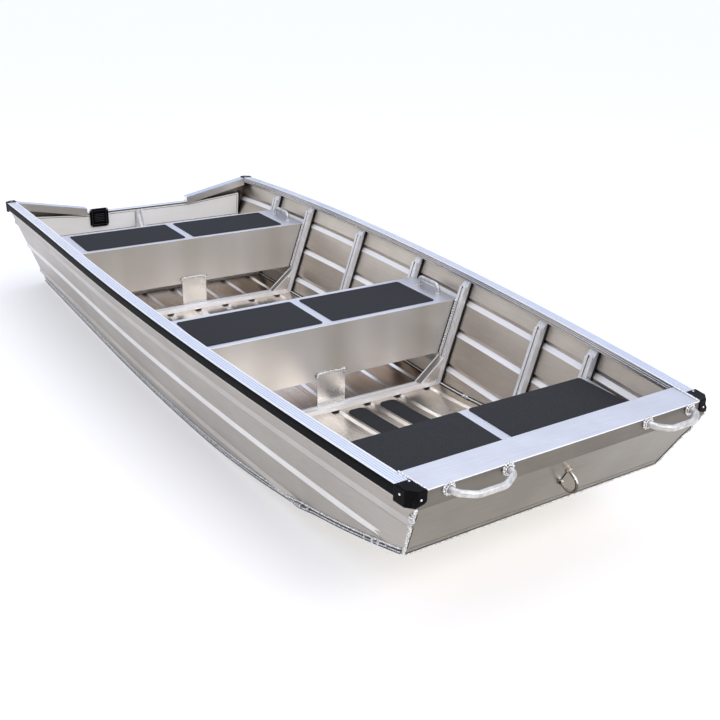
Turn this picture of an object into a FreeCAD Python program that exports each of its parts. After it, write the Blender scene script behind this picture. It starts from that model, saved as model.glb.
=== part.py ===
import FreeCAD, Part
import Sketcher
import math
import os

# Flat-bottomed aluminium rowing boat with a square bow.
# +X runs forward to the bow, +Y to port and +Z up. The origin is on the ground,
# on the centreline, halfway along the boat.

V = FreeCAD.Vector

SIZES = [
    ("hull_length", 3660),
    ("widest_station", "=hull_length * 0.328"),
    ("half_beam_widest", 753),
    ("half_beam_stern", "=half_beam_widest * 0.983"),
    ("half_beam_bow", "=half_beam_widest * 0.7915"),
    ("sheer_stern", 492),
    ("sheer_widest", 521),
    ("sheer_bow", 500),
    ("flare_stern", 0.358),
    ("flare_bow", 0.277),
    ("plate", 3),
    ("groove_depth", 8),
    ("groove_pitch", 160),
    ("groove_width", 46),
    ("groove_flank", 11),
    ("chine_lap", 12),
    ("rise_start", "=hull_length * 0.59"),
    ("bow_foot_height", 224),
    ("bow_lip", 55),
    ("bow_foot_back", 112),
    ("rise_run", "=hull_length - bow_foot_back - rise_start"),
    ("rise_height", "=bow_foot_height - groove_depth"),
    ("rise_radius", "=(rise_run ^ 2 + rise_height ^ 2) / (2 * rise_height)"),
    ("swage_out", 10),
    ("swage_rise", 18),
    ("swage_return", 18),
    ("swage_upper", 125),
    ("swage_middle", 266),
    ("swage_lower", 423),
    ("swage_fade_start", "=hull_length * 0.92"),
    ("swage_fade_end", "=hull_length * 0.97"),
    ("side_reach", 545),
    ("gunwale_width", 48),
    ("gunwale_inner_depth", 30),
    ("gunwale_outer_depth", 42),
    ("gunwale_lip", 3),
    ("strip_seat", 5),
    ("strip_proud", 4),
    ("rib_width", 40),
    ("rib_depth", 36),
    ("rib_seat_gap", 0.2),
    ("rib_flange_gap", 5),
    ("rib_top_gap", 3),
    ("rib_bevel", 8),
    ("rib_groove_width", 10),
    ("rib_groove_depth", 3),
    ("rib_station_one", "=hull_length * 0.1273"),
    ("rib_station_two", "=hull_length * 0.2322"),
    ("rib_station_three", "=hull_length * 0.3749"),
    ("rib_station_four", "=hull_length * 0.5164"),
    ("rib_station_five", "=hull_length * 0.623"),
    ("rib_station_six", "=hull_length * 0.7683"),
    ("rib_station_seven", "=hull_length * 0.8525"),
    ("floor_rib_height", 24),
    ("floor_rib_two_top", "=groove_depth + plate + floor_rib_height"),
    ("run_to_rib_five", "=rib_station_five - rise_start"),
    ("floor_rib_five_top", "=floor_rib_two_top + rise_radius - sqrt(rise_radius ^ 2 - run_to_rib_five ^ 2)"),
    ("bench_height", 394),
    ("bow_bench_height", 372),
    ("bench_drop", 240),
    ("bow_bench_drop", 150),
    ("bow_bench_front", "=hull_length - bow_foot_back + 20"),
    ("bench_end_gap", 30),
    ("bow_bench_aft", "=hull_length * 0.8547"),
    ("pad_thick", 3),
    ("pad_length", 290),
    ("pad_edge_gap", 201),
    ("pad_half_gap", 22),
    ("pad_corner", 12),
    ("bow_pad_setback", 3),
    ("bow_pad_length", 350),
    ("bow_pad_edge_gap", 44),
    ("floor_pad_width", 84),
    ("floor_pad_length", "=hull_length * 0.191"),
    ("floor_pad_aft", "=hull_length * 0.6366"),
    ("bracket_width", 136),
    ("bracket_plate", 5),
    ("bracket_overlap", 28),
    ("deck_depth", 118),
    ("deck_fold", 22),
    ("cutout_half_width", 306),
    ("cutout_height", 382),
    ("box_inner_top", "=cutout_height + 31"),
    ("box_outer_top", 490),
    ("box_depth", 42),
    ("rail_plate", 3),
    ("doubler_half_width", "=half_beam_stern - 85"),
    ("doubler_bottom", "=cutout_height - 120"),
    ("doubler_top", "=cutout_height - 12"),
    ("doubler_shoulder", "=doubler_top + (box_outer_top - box_inner_top) * 0.38"),
    ("doubler_toe_in", 8),
    ("doubler_off", 30),
    ("knee_foot", 272),
    ("knee_width", 30),
    ("knee_seat", 28),
    ("knee_depth", 24),
    ("motor_pad_width", 108),
    ("motor_pad_height", 106),
    ("motor_pad_above", 22),
    ("motor_pad_thick", 8),
    ("motor_pad_centre", 237),
    ("bar_sides", 12),
    ("grab_bar", 16),
    ("grab_length", 145),
    ("grab_height", 42),
    ("grab_bend", 26),
    ("grab_inset", 44),
    ("grab_forward", 8),
    ("grab_collar", 5),
    ("bow_handle_bar", 25),
    ("bow_handle_span", 206),
    ("bow_handle_reach", 59.5),
    ("bow_handle_drop", 18),
    ("bow_handle_centre", 388),
    ("bow_handle_down", 22),
    ("bow_handle_shoulder", 53),
    ("bow_handle_bend", 28),
    ("bow_fittings_shift", 12),
    ("handle_collar", 8),
    ("eye_bar", 10),
    ("eye_spread", 62),
    ("eye_reach", 52),
    ("eye_down", 140),
    ("eye_collar", 18),
    ("cap_leg", 68),
    ("cap_leg_stern", 44),
    ("cap_skin", 3),
    ("cap_chamfer", 24),
    ("cap_depth", 50),
    ("cap_gap", 0.2),
    ("cap_edge", 3),
    ("gusset_reach", 90),
    ("gusset_rise", 105),
    ("gusset_plate", 4),
    ("bung_radius", 17),
    ("bung_proud", 8),
    ("bung_station_y", 200),
    ("mid_station", "=(hull_length + bow_handle_reach + bow_handle_bar / 2 - bung_proud) / 2"),
]

document = FreeCAD.newDocument("RowingBoat")
sheet = document.addObject("Spreadsheet::Sheet", "sizes")
for row, (alias, value) in enumerate(SIZES, start=1):
    sheet.set("A%d" % row, alias)
    sheet.set("B%d" % row, str(value))
    sheet.setAlias("B%d" % row, alias)
document.recompute()

parts = []


def size(alias):
    """One driving dimension, as the sheet has it."""
    return float(sheet.get(alias))


def keep(item, label):
    """Register a document object as a sub-part of the boat."""
    item.Label = label
    parts.append(item)
    return item


def shaped(label, shape):
    """A sub-part whose shape comes from the hull's own curves."""
    item = document.addObject("Part::Feature", label)
    item.Shape = shape
    return keep(item, label)


# The hull's lines. Stations are measured forward from the transom.

LENGTH = size("hull_length")
PLATE = size("plate")
KEEL = size("groove_depth")
FLOOR = KEEL + PLATE
BOW_X = LENGTH
FOOT_X = LENGTH - size("bow_foot_back")


def along(station):
    """Boat coordinate of a station, with the origin halfway between bung and handles."""
    return station - size("mid_station")


def eased(station, at_stern, at_widest, at_bow):
    """A value that peaks at the widest station and falls off as a parabola to each end."""
    widest = size("widest_station")
    if station < widest:
        return at_widest - (at_widest - at_stern) * ((widest - station) / widest) ** 2
    return at_widest - (at_widest - at_bow) * ((station - widest) / (LENGTH - widest)) ** 2


def half_beam(station):
    return eased(station, size("half_beam_stern"), size("half_beam_widest"), size("half_beam_bow"))


def sheer(station):
    return eased(station, size("sheer_stern"), size("sheer_widest"), size("sheer_bow"))


def flare(station):
    return size("flare_stern") + (size("flare_bow") - size("flare_stern")) * station / LENGTH


def keel(station):
    """Underside of the flat bottom plate: level aft, then a circular rise to the bow."""
    run = max(0.0, station - size("rise_start"))
    radius = size("rise_radius")
    return KEEL + radius - math.sqrt(radius ** 2 - run ** 2)


def side_half(station, height):
    """Half-breadth of the hull side's outer face at a height."""
    return half_beam(station) - flare(station) * (sheer(station) - height)


def chine_half(station):
    return side_half(station, keel(station))


def smooth_step(value):
    """Ease from 0 to 1 with level ends."""
    value = min(1.0, max(0.0, value))
    return value * value * (3 - 2 * value)


def swage_points(station):
    """Depth below the sheer and stand-out of each swage's start, crest and end, top to bottom."""
    gone = smooth_step((station - size("swage_fade_start")) / (size("swage_fade_end") - size("swage_fade_start")))
    out = size("swage_out")
    points = []
    for crest, stand in ((size("swage_upper"), out), (size("swage_middle"), out * (1 - gone)), (size("swage_lower"), out)):
        points += [(crest - size("swage_rise"), 0.0), (crest, stand), (crest + size("swage_return"), 0.0)]
    return points


def side_profile(station, top_drop, inset):
    """Points of one hull side as (half-breadth, height), from the top to below the bottom plate."""
    points = [(side_half(station, sheer(station) - top_drop) - inset, sheer(station) - top_drop)]
    for depth, stand in swage_points(station):
        height = sheer(station) - depth
        points.append((side_half(station, height) + stand - inset, height))
    low = sheer(station) - size("side_reach")
    points.append((side_half(station, low) - inset, low))
    return points


def closed_wire(points):
    return Part.makePolygon(points + [points[0]])


def loft(wires, ruled=False):
    return Part.makeLoft(wires, True, ruled)


def block(x_low, x_high, y_low, y_high, z_low, z_high):
    return Part.makeBox(x_high - x_low, y_high - y_low, z_high - z_low, V(x_low, y_low, z_low))


def mirrored(shape):
    """The same piece on the other side of the centreline."""
    return shape.mirror(V(0, 0, 0), V(0, 1, 0))


def prism(points, depth):
    return Part.Face(closed_wire(points)).extrude(depth)


HULL_SHARES = [0, 0.08, 0.19, 0.33, 0.45, 0.55, 0.64, 0.71, 0.765, 0.806, 0.842, 0.877, 0.913, 0.951, 0.975, 1]
HULL_STATIONS = [LENGTH * share for share in HULL_SHARES]
TALL = size("sheer_widest") * 1.4
WIDE = size("half_beam_widest") * 1.2


def swept_floor(section_points, station_end):
    """Extrude a cross-section along the level keel and revolve it round the bow's rise."""
    start = size("rise_start")
    radius = size("rise_radius")
    wire = closed_wire([V(along(0), y, z) for y, z in section_points])
    level = Part.Face(wire).extrude(V(start, 0, 0))
    at_rise = closed_wire([V(along(start), y, z) for y, z in section_points])
    angle = math.degrees(math.asin((station_end - start) / radius))
    risen = Part.Face(at_rise).revolve(V(along(start), 0, KEEL + radius), V(0, -1, 0), angle)
    return level.fuse(risen).removeSplitter()


def bottom_section():
    """Cross-section of the bottom plate with its grooves pressed downwards."""
    upper = []
    half = size("groove_width") / 2
    flank = size("groove_flank")
    for index in range(-3, 4):
        centre = index * size("groove_pitch")
        upper += [(centre - half, FLOOR), (centre - half + flank, FLOOR - KEEL)]
        upper += [(centre + half - flank, FLOOR - KEEL), (centre + half, FLOOR)]
    edge = WIDE
    top = [(-edge, FLOOR)] + upper + [(edge, FLOOR)]
    lower = [(y, z - PLATE) for y, z in top]
    return top + lower[::-1]


def bow_slope():
    """Run of the bow plate per unit of height."""
    return (BOW_X - FOOT_X) / (sheer(LENGTH) - size("bow_lip") - keel(FOOT_X))


def plate_run():
    """The bow plate's thickness measured along the boat."""
    return PLATE * math.sqrt(1 + bow_slope() ** 2)


def bow_wedge(setback):
    """Everything ahead of the bow plate's outer face, moved aft by a setback."""
    fold = sheer(LENGTH) - size("bow_lip")
    slope = bow_slope()
    low = -TALL / 4
    points = [
        V(along(BOW_X - setback), -WIDE, TALL),
        V(along(BOW_X - setback), -WIDE, fold),
        V(along(BOW_X - setback - slope * (fold - low)), -WIDE, low),
        V(along(BOW_X + TALL), -WIDE, low),
        V(along(BOW_X + TALL), -WIDE, TALL),
    ]
    return prism(points, V(0, 2 * WIDE, 0))


def chine_outline(lap):
    """Plan outline of the bottom plate."""
    port = [V(along(s), chine_half(s) + lap, -TALL / 4) for s in RAIL_STATIONS]
    curve = Part.BSplineCurve()
    curve.interpolate(port)
    starboard = Part.BSplineCurve()
    starboard.interpolate([V(point.x, -point.y, point.z) for point in port])
    edges = [
        curve.toShape(),
        Part.makeLine(port[-1], V(port[-1].x, -port[-1].y, port[-1].z)),
        starboard.toShape(),
        Part.makeLine(V(port[0].x, -port[0].y, port[0].z), port[0]),
    ]
    wire = Part.Wire(Part.__sortEdges__(edges))
    return Part.Face(wire).extrude(V(0, 0, TALL))


under_floor = swept_floor([(-WIDE, FLOOR), (WIDE, FLOOR), (WIDE, -TALL / 2), (-WIDE, -TALL / 2)], LENGTH)


def bottom_plate():
    plate = swept_floor(bottom_section(), LENGTH)
    plate = plate.common(chine_outline(size("chine_lap")))
    return plate.cut(bow_wedge(plate_run()))


def hull_side():
    """Port side plate: three swages, trimmed to the bow plate and seated on the bottom."""
    wires = []
    for station in HULL_STATIONS:
        outer = side_profile(station, size("gunwale_inner_depth"), 0.0)
        inner = side_profile(station, size("gunwale_inner_depth"), PLATE)
        ring = outer + inner[::-1]
        wires.append(closed_wire([V(along(station), y, z) for y, z in ring]))
    side = loft(wires)
    side = side.cut(block(along(-WIDE), along(PLATE), 0, WIDE, -TALL, TALL))
    side = side.cut(bow_wedge(plate_run()))
    return side.cut(under_floor)


def hull_section(station, inset=0.0):
    """Full cross-section polygon inside or outside the sides."""
    port = side_profile(station, size("gunwale_inner_depth"), inset)
    ring = port + [(-y, z) for y, z in port[::-1]]
    return [V(along(station), y, z) for y, z in ring]


def transom_outline():
    """Upper edge of the transom plate as (y, z), port to starboard: under the boxes and the cut-out's cap."""
    shoulder = size("half_beam_stern") - size("gunwale_width")
    half = size("cutout_half_width")
    outer = size("box_outer_top") - size("box_depth")
    inner = size("box_inner_top") - size("box_depth")
    low = size("cutout_height") - size("rail_plate")
    port = [(shoulder, outer), (half, inner), (half, low)]
    return port + [(-y, z) for y, z in port[::-1]]


def cutout_region(x_low, x_high):
    """Space above the transom plate's upper edge, between the gunwales."""
    line = transom_outline()
    points = [(line[0][0], TALL)] + line + [(line[-1][0], TALL)]
    return prism([V(along(x_low), y, z) for y, z in points], V(x_high - x_low, 0, 0))


def transom_plate():
    face = Part.Face(closed_wire(hull_section(0)))
    plate = face.extrude(V(PLATE, 0, 0)).cut(under_floor)
    return plate.cut(cutout_region(-PLATE, 2 * PLATE))


def skin_half(station, height):
    """Half-breadth of the side's outer face at a height, swages included."""
    points = side_profile(station, 0.0, 0.0)
    for (upper_y, upper_z), (lower_y, lower_z) in zip(points[:-1], points[1:]):
        if upper_z >= height >= lower_z:
            return lower_y + (upper_y - lower_y) * (height - lower_z) / (upper_z - lower_z)
    return points[-1][0]


def bow_plate():
    """Raked plate between the sides, from the deck's lip down past the bottom's grooves."""
    fold = sheer(LENGTH) - size("bow_lip")
    foot = keel(FOOT_X)
    steps = 14
    port = []
    for step in range(steps + 1):
        height = fold - (fold - foot) * step / steps
        station = BOW_X - bow_slope() * (fold - height)
        port.append(V(along(station), skin_half(station, height), height))
    low = foot - KEEL
    port.append(V(along(BOW_X - bow_slope() * (fold - low)), port[-1].y, low))
    starboard = [V(p.x, -p.y, p.z) for p in port[::-1]]
    slope = bow_slope()
    inward = V(-1, 0, slope).normalize() * PLATE
    return prism(port + starboard, inward)


def gunwale_section(station, points):
    top = sheer(station)
    beam = half_beam(station)
    return closed_wire([V(along(station), beam + y, top + z) for y, z in points])


def gunwale_profile(station):
    """Extruded rail: flat top, inner face, seat for the side plate and a channel outside."""
    width = size("gunwale_width")
    inner = size("gunwale_inner_depth")
    outer = size("gunwale_outer_depth")
    lip = size("gunwale_lip")
    seat = size("strip_seat")
    slope = flare(station)
    return [
        (0, 0), (-width, 0), (-width, -inner), (-slope * inner, -inner), (-slope * outer, -outer),
        (0, -outer), (0, -outer + lip), (-seat, -outer + lip), (-seat, -lip), (0, -lip),
    ]


def strip_profile(station):
    """Rubber rub strip with a rounded outer face."""
    lip = size("gunwale_lip")
    outer = size("gunwale_outer_depth")
    seat = size("strip_seat")
    proud = size("strip_proud")
    mid = -outer / 2
    quarter = (outer - 2 * lip) / 4
    return [
        (-seat, -lip), (0, -lip), (proud * 0.7, -lip - quarter * 0.4), (proud, mid + quarter),
        (proud, mid - quarter), (proud * 0.7, -outer + lip + quarter * 0.4), (0, -outer + lip),
        (-seat, -outer + lip),
    ]


RAIL_STATIONS = [LENGTH * share for share in (0, 0.11, 0.22, 0.33, 0.46, 0.6, 0.74, 0.85, 0.93, 1)]


def rail(profile, start, end):
    stations = [start] + [s for s in RAIL_STATIONS if start + 60 < s < end - 60] + [end]
    return loft([gunwale_section(s, profile(s)) for s in stations])


def side_rib(station):
    """Port side rib: a grooved channel that follows the side, bevelled at its top."""
    half = size("rib_width") / 2
    depth = size("rib_depth")
    seat = size("rib_seat_gap")
    groove = size("rib_groove_width") / 2
    groove_floor = depth - size("rib_groove_depth")
    gap = size("rib_flange_gap")
    outline = [
        (-half, seat), (half - gap, seat), (half - gap, seat + gap), (half, seat + gap), (half, depth),
        (groove, depth), (groove, groove_floor), (-groove, groove_floor), (-groove, depth), (-half, depth),
    ]
    top = sheer(station) - size("gunwale_inner_depth") - size("rib_top_gap")
    rings = []
    for height in (keel(station - half) - PLATE, top):
        face = side_half(station, height) - PLATE
        slope = (side_half(station + half, height) - side_half(station - half, height)) / (2 * half)
        rings.append(closed_wire([V(along(station + x), face + slope * x - inward, height) for x, inward in outline]))
    body = loft(rings, True)
    inner_top = side_half(station, top) - PLATE
    bevel = prism(
        [
            V(along(station - 2 * half), inner_top - depth - size("rib_bevel"), top - depth * 1.1),
            V(along(station - 2 * half), inner_top - depth - size("rib_bevel"), top + 1),
            V(along(station - 2 * half), inner_top - depth * 0.35, top + 1),
        ],
        V(4 * half, 0, 0),
    )
    return body.cut(bevel).cut(under_floor)


def rib_inboard(station, height):
    """Half-breadth of the side rib's inboard face."""
    return side_half(station, height) - PLATE - size("rib_depth")


def floor_rib(station):
    """Transverse floor rib between the side ribs, grooved on top, that bridges the bottom's grooves."""
    half = size("rib_width") / 2
    low = keel(station - half)
    top = keel(station) + PLATE + size("floor_rib_height")
    reach = rib_inboard(station, top)
    foot = rib_inboard(station, low)
    outline = [V(along(station - half), y, z) for y, z in ((-foot, low), (foot, low), (reach, top), (-reach, top))]
    body = prism(outline, V(2 * half, 0, 0))
    groove = size("rib_groove_width") / 2
    centre = along(station)
    body = body.cut(block(centre - groove, centre + groove, -WIDE, WIDE, top - size("rib_groove_depth"), TALL))
    return body.cut(under_floor)


def trim_between_ribs(x_low, x_high, gap):
    """Wedge that trims a bench to the slope of the hull sides."""
    wires = []
    for station in (x_low, x_high):
        high = sheer(station)
        low = keel(station)
        points = [
            (side_half(station, high) - PLATE - gap, high), (side_half(station, low) - PLATE - gap, low),
        ]
        ring = points + [(-y, z) for y, z in points[::-1]]
        wires.append(closed_wire([V(along(station), y, z) for y, z in ring]))
    return loft(wires, True)


def polygon_sketch(body, name, role, corners, offset):
    """Closed polygon whose corners are tied to the sheet by horizontal and vertical distances."""
    plane = [item for item in body.Origin.OriginFeatures if item.Role == role][0]
    sketch = body.newObject("Sketcher::SketchObject", name)
    sketch.AttachmentSupport = (plane, [""])
    sketch.MapMode = "FlatFace"
    sketch.setExpression("AttachmentOffset.Base.z", offset)
    count = len(corners)
    angles = [2 * math.pi * index / count for index in range(count)]
    reach = size("gunwale_width")
    rough = [V(reach * math.cos(a), reach * math.sin(a), 0) for a in angles]
    for index in range(count):
        sketch.addGeometry(Part.LineSegment(rough[index], rough[(index + 1) % count]), False)
    for index in range(count):
        sketch.addConstraint(Sketcher.Constraint("Coincident", index, 2, (index + 1) % count, 1))
    for index, (across, up) in enumerate(corners):
        for kind, expression, value in (("DistanceX", across, rough[index].x), ("DistanceY", up, rough[index].y)):
            number = sketch.addConstraint(Sketcher.Constraint(kind, -1, 1, index, 1, value))
            sketch.setExpression("Constraints[%d]" % number, expression)
    return sketch


def padded_body(name, role, corners, length, offset="0"):
    """PartDesign body: one polygon padded by an expression."""
    body = document.addObject("PartDesign::Body", name)
    sketch = polygon_sketch(body, name + "_outline", role, corners, offset)
    pad = body.newObject("PartDesign::Pad", name + "_pad")
    pad.Profile = sketch
    pad.setExpression("Length", length)
    document.recompute()
    return body, pad


def bench(label, aft, front, top, drop):
    """Folded bench: top, front wall and aft wall in one sheet, trimmed to the hull's flare."""
    mid = "sizes.mid_station"
    corners = [
        ("%s - %s" % (aft, mid), "%s - %s" % (top, drop)),
        ("%s - %s + sizes.plate" % (aft, mid), "%s - %s" % (top, drop)),
        ("%s - %s + sizes.plate" % (aft, mid), "%s - sizes.plate" % top),
        ("%s - %s - sizes.plate" % (front, mid), "%s - sizes.plate" % top),
        ("%s - %s - sizes.plate" % (front, mid), "%s - %s" % (top, drop)),
        ("%s - %s" % (front, mid), "%s - %s" % (top, drop)),
        ("%s - %s" % (front, mid), top),
        ("%s - %s" % (aft, mid), top),
    ]
    body, pad = padded_body(label + "_sheet", "XZ_Plane", corners, "2 * sizes.half_beam_widest",
                            "-sizes.half_beam_widest")
    return body


def trimmed(label, body, wedge):
    """A body cut to the space between the ribs."""
    space = document.addObject("Part::Feature", label + "_space")
    space.Shape = wedge
    item = document.addObject("Part::Common", label)
    item.Base = body
    item.Tool = space
    return keep(item, label)


def rounded_pad(label, aft, length, y_low, y_high, z_low, radius="sizes.pad_corner"):
    """Anti-slip pad with rounded corners, lying on a plate."""
    mid = "sizes.mid_station"
    corners = [
        ("%s - %s" % (aft, mid), y_low),
        ("%s + %s - %s" % (aft, length, mid), y_low),
        ("%s + %s - %s" % (aft, length, mid), y_high),
        ("%s - %s" % (aft, mid), y_high),
    ]
    body, pad = padded_body(label, "XY_Plane", corners, "sizes.pad_thick", z_low)
    upright = []
    for number, edge in enumerate(pad.Shape.Edges, start=1):
        if abs(edge.Vertexes[0].Z - edge.Vertexes[1].Z) > size("pad_thick") / 2:
            upright.append("Edge%d" % number)
    fillet = body.newObject("PartDesign::Fillet", label + "_corners")
    fillet.Base = (pad, upright)
    fillet.setExpression("Radius", radius)
    return keep(body, label)


# Hull shell

shaped("bottom_plate", bottom_plate())
port_side = hull_side()
shaped("hull_side_port", port_side)
shaped("hull_side_starboard", mirrored(port_side))
shaped("transom_plate", transom_plate())
shaped("bow_plate", bow_plate())

# Gunwales with their rubber strips

STERN_END = size("cap_leg_stern") + size("cap_gap")
BOW_END = LENGTH - size("cap_leg") - size("cap_gap")
gunwale = rail(gunwale_profile, STERN_END, BOW_END)
shaped("gunwale_port", gunwale)
shaped("gunwale_starboard", mirrored(gunwale))
strip = rail(strip_profile, STERN_END, BOW_END)
shaped("rub_strip_port", strip)
shaped("rub_strip_starboard", mirrored(strip))


def corner_cap(end_station, direction, leg):
    """Moulded block that closes the gunwale's end, wraps the side's top edge and has a chamfered corner."""
    skin = size("cap_skin")
    chamfer = size("cap_chamfer")
    depth = size("cap_depth")
    inner = size("gunwale_inner_depth")
    outside = size("strip_proud") + 1
    gap = size("cap_gap")
    slope = flare(end_station)
    section = [
        (-size("gunwale_width"), -inner + gap), (gap - slope * inner, -inner + gap), (gap - slope * depth, -depth),
        (outside, -depth), (outside, skin), (-size("gunwale_width"), skin),
    ]
    tip = end_station + direction * skin
    back = end_station - direction * leg
    heading = V(along(tip) - along(back), half_beam(tip) - half_beam(back), sheer(tip) - sheer(back))
    body = Part.Face(gunwale_section(back, section)).extrude(heading)
    outer = half_beam(end_station) + outside
    reach = 4 * chamfer
    corner = prism(
        [V(along(tip - direction * (chamfer + reach)), outer + reach, 0), V(along(tip + direction * reach), outer + reach, 0),
         V(along(tip + direction * reach), outer - chamfer - reach, 0)],
        V(0, 0, TALL),
    )
    body = body.cut(corner).removeSplitter()
    top = sheer(end_station) + skin
    rim = []
    for edge in body.Edges:
        ends = [vertex.Point for vertex in edge.Vertexes]
        level = all(point.z > top - skin for point in ends)
        upright = abs(ends[0].z - ends[1].z) > depth / 2
        front = min(direction * (point.x - along(tip)) for point in ends) > -1.5 * chamfer
        outboard = max(point.y for point in ends) > outer - 1.2 * chamfer
        inboard = max(point.y for point in ends) < half_beam(back) - size("gunwale_width") + PLATE
        if (level and not inboard) or (upright and front and outboard):
            rim.append(edge)
    return body.makeFillet(size("cap_edge"), rim)


for name, station, direction, leg in (
    ("bow", LENGTH, 1, size("cap_leg")),
    ("stern", 0, -1, size("cap_leg_stern")),
):
    cap = corner_cap(station, direction, leg)
    shaped("corner_cap_%s_port" % name, cap)
    shaped("corner_cap_%s_starboard" % name, mirrored(cap))

# Side ribs, floor ribs and gussets

RIBS = ("one", "two", "three", "four", "five", "six", "seven")
port_ribs = Part.makeCompound([side_rib(size("rib_station_" + word)) for word in RIBS])
shaped("side_ribs_port", port_ribs)
shaped("side_ribs_starboard", mirrored(port_ribs))
CROSSED = ("one", "two", "four", "five", "seven")
shaped("floor_ribs", Part.makeCompound([floor_rib(size("rib_station_" + word)) for word in CROSSED]))


def gusset(station):
    """Folded brace in the corner between a side rib and its floor rib: a sloping face and two cheeks."""
    low = keel(station) + PLATE + size("floor_rib_height")
    high = low + size("gusset_rise")
    foot = rib_inboard(station, low)
    head = rib_inboard(station, high)
    half = size("rib_width") / 2
    reach = size("gusset_reach")
    thick = size("gusset_plate")
    outer = [V(along(station - half), foot - reach, low), V(along(station - half), foot, low),
             V(along(station - half), head, high)]
    inner = [V(along(station - half + thick), foot - reach + 2 * thick, low - 1),
             V(along(station - half + thick), foot + thick, low - 1),
             V(along(station - half + thick), head + thick, high - 2 * thick)]
    return prism(outer, V(2 * half, 0, 0)).cut(prism(inner, V(2 * (half - thick), 0, 0)))


port_gussets = [gusset(size("rib_station_" + word)) for word in ("two", "five")]
shaped("chine_gussets", Part.makeCompound(port_gussets + [mirrored(piece) for piece in port_gussets]))

# Benches

HALF_RIB = "sizes.rib_width / 2"
stern_bench = bench(
    "stern_bench", "(sizes.rib_station_one + %s)" % HALF_RIB, "(sizes.rib_station_two - %s)" % HALF_RIB,
    "sizes.bench_height", "sizes.bench_drop",
)
middle_bench = bench(
    "middle_bench", "(sizes.rib_station_four + %s)" % HALF_RIB, "(sizes.rib_station_five - %s)" % HALF_RIB,
    "sizes.bench_height", "sizes.bench_drop",
)
bow_bench = bench(
    "bow_bench", "sizes.bow_bench_aft", "sizes.bow_bench_front",
    "sizes.bow_bench_height", "sizes.bow_bench_drop",
)
GAP = size("bench_end_gap")
half_rib = size("rib_width") / 2
trimmed("stern_bench", stern_bench, trim_between_ribs(size("rib_station_one"), size("rib_station_two"), GAP))
trimmed("middle_bench", middle_bench, trim_between_ribs(size("rib_station_four"), size("rib_station_five"), GAP))
trimmed(
    "bow_bench", bow_bench,
    trim_between_ribs(size("bow_bench_aft") - PLATE, LENGTH, size("rib_depth")).cut(bow_wedge(plate_run())).cut(under_floor),
)

# Anti-slip pads

PAD_IN = "sizes.pad_half_gap"
PAD_OUT = "(sizes.half_beam_widest - sizes.pad_edge_gap)"
BOW_PAD_OUT = "(sizes.half_beam_bow - sizes.bow_pad_edge_gap)"


def centred_pad(aft_rib, front_rib):
    """Aft edge of a pad that lies midway between two ribs."""
    return "(sizes.rib_station_%s + sizes.rib_station_%s - sizes.pad_length) / 2" % (aft_rib, front_rib)


BOW_PAD_AFT = "(sizes.bow_bench_aft + sizes.bow_pad_setback)"
for name, aft, length, height, edge in (
    ("stern", centred_pad("one", "two"), "sizes.pad_length", "sizes.bench_height", PAD_OUT),
    ("middle", centred_pad("four", "five"), "sizes.pad_length", "sizes.bench_height", PAD_OUT),
    ("bow", BOW_PAD_AFT, "sizes.bow_pad_length", "sizes.bow_bench_height", BOW_PAD_OUT),
):
    rounded_pad("%s_pad_port" % name, aft, length, PAD_IN, edge, height)
    rounded_pad("%s_pad_starboard" % name, aft, length, "-" + edge, "-" + PAD_IN, height)

# Bow deck with its front lip

deck_top = sheer(LENGTH)


def bow_deck():
    """Folded plate over the bow: top, front lip with wings under the caps and a short fold at its aft edge."""
    back = LENGTH - size("deck_depth")
    fold = deck_top - size("bow_lip")
    outline = [
        (back, deck_top), (LENGTH, deck_top), (LENGTH, fold), (LENGTH - PLATE, fold),
        (LENGTH - PLATE, deck_top - PLATE), (back + PLATE, deck_top - PLATE),
        (back + PLATE, deck_top - size("deck_fold")), (back, deck_top - size("deck_fold")),
    ]
    sheet_body = prism([V(along(x), -WIDE, z) for x, z in outline], V(0, 2 * WIDE, 0))
    wires = []
    for station in (back - WIDE / 40, LENGTH + PLATE):
        reach = half_beam(station) - size("gunwale_width")
        ring = [(reach, 0), (reach, TALL), (-reach, TALL), (-reach, 0)]
        wires.append(closed_wire([V(along(station), y, z) for y, z in ring]))
    folded = sheet_body.common(loft(wires, True))
    inboard = half_beam(LENGTH) - 2 * size("gunwale_width")
    head = deck_top - size("gunwale_inner_depth") - PLATE
    wing = [(inboard, fold), (skin_half(LENGTH, fold), fold), (skin_half(LENGTH, head), head), (inboard, head)]
    port = prism([V(along(LENGTH - PLATE), y, z) for y, z in wing], V(PLATE, 0, 0))
    return folded.fuse(port).fuse(mirrored(port)).removeSplitter()


shaped("bow_deck", bow_deck())


def transom_rail():
    """Sloping box extrusions beside the cut-out, joined by a thin cap along the cut-out."""
    width = size("gunwale_width")
    shoulder = size("half_beam_stern") - width
    half = size("cutout_half_width")
    drop = size("box_depth")
    inner = size("box_inner_top")
    outer = size("box_outer_top")
    low = size("cutout_height")
    ring = [(half, inner), (shoulder, outer), (shoulder, outer - drop), (half, inner - drop)]
    port = prism([V(along(0), y, z) for y, z in ring], V(width, 0, 0))
    cap = block(along(0), along(size("doubler_off") + PLATE), -half, half, low - size("rail_plate"), low)
    return port.fuse(cap).fuse(mirrored(port)).removeSplitter()


shaped("transom_rail", transom_rail())


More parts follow.
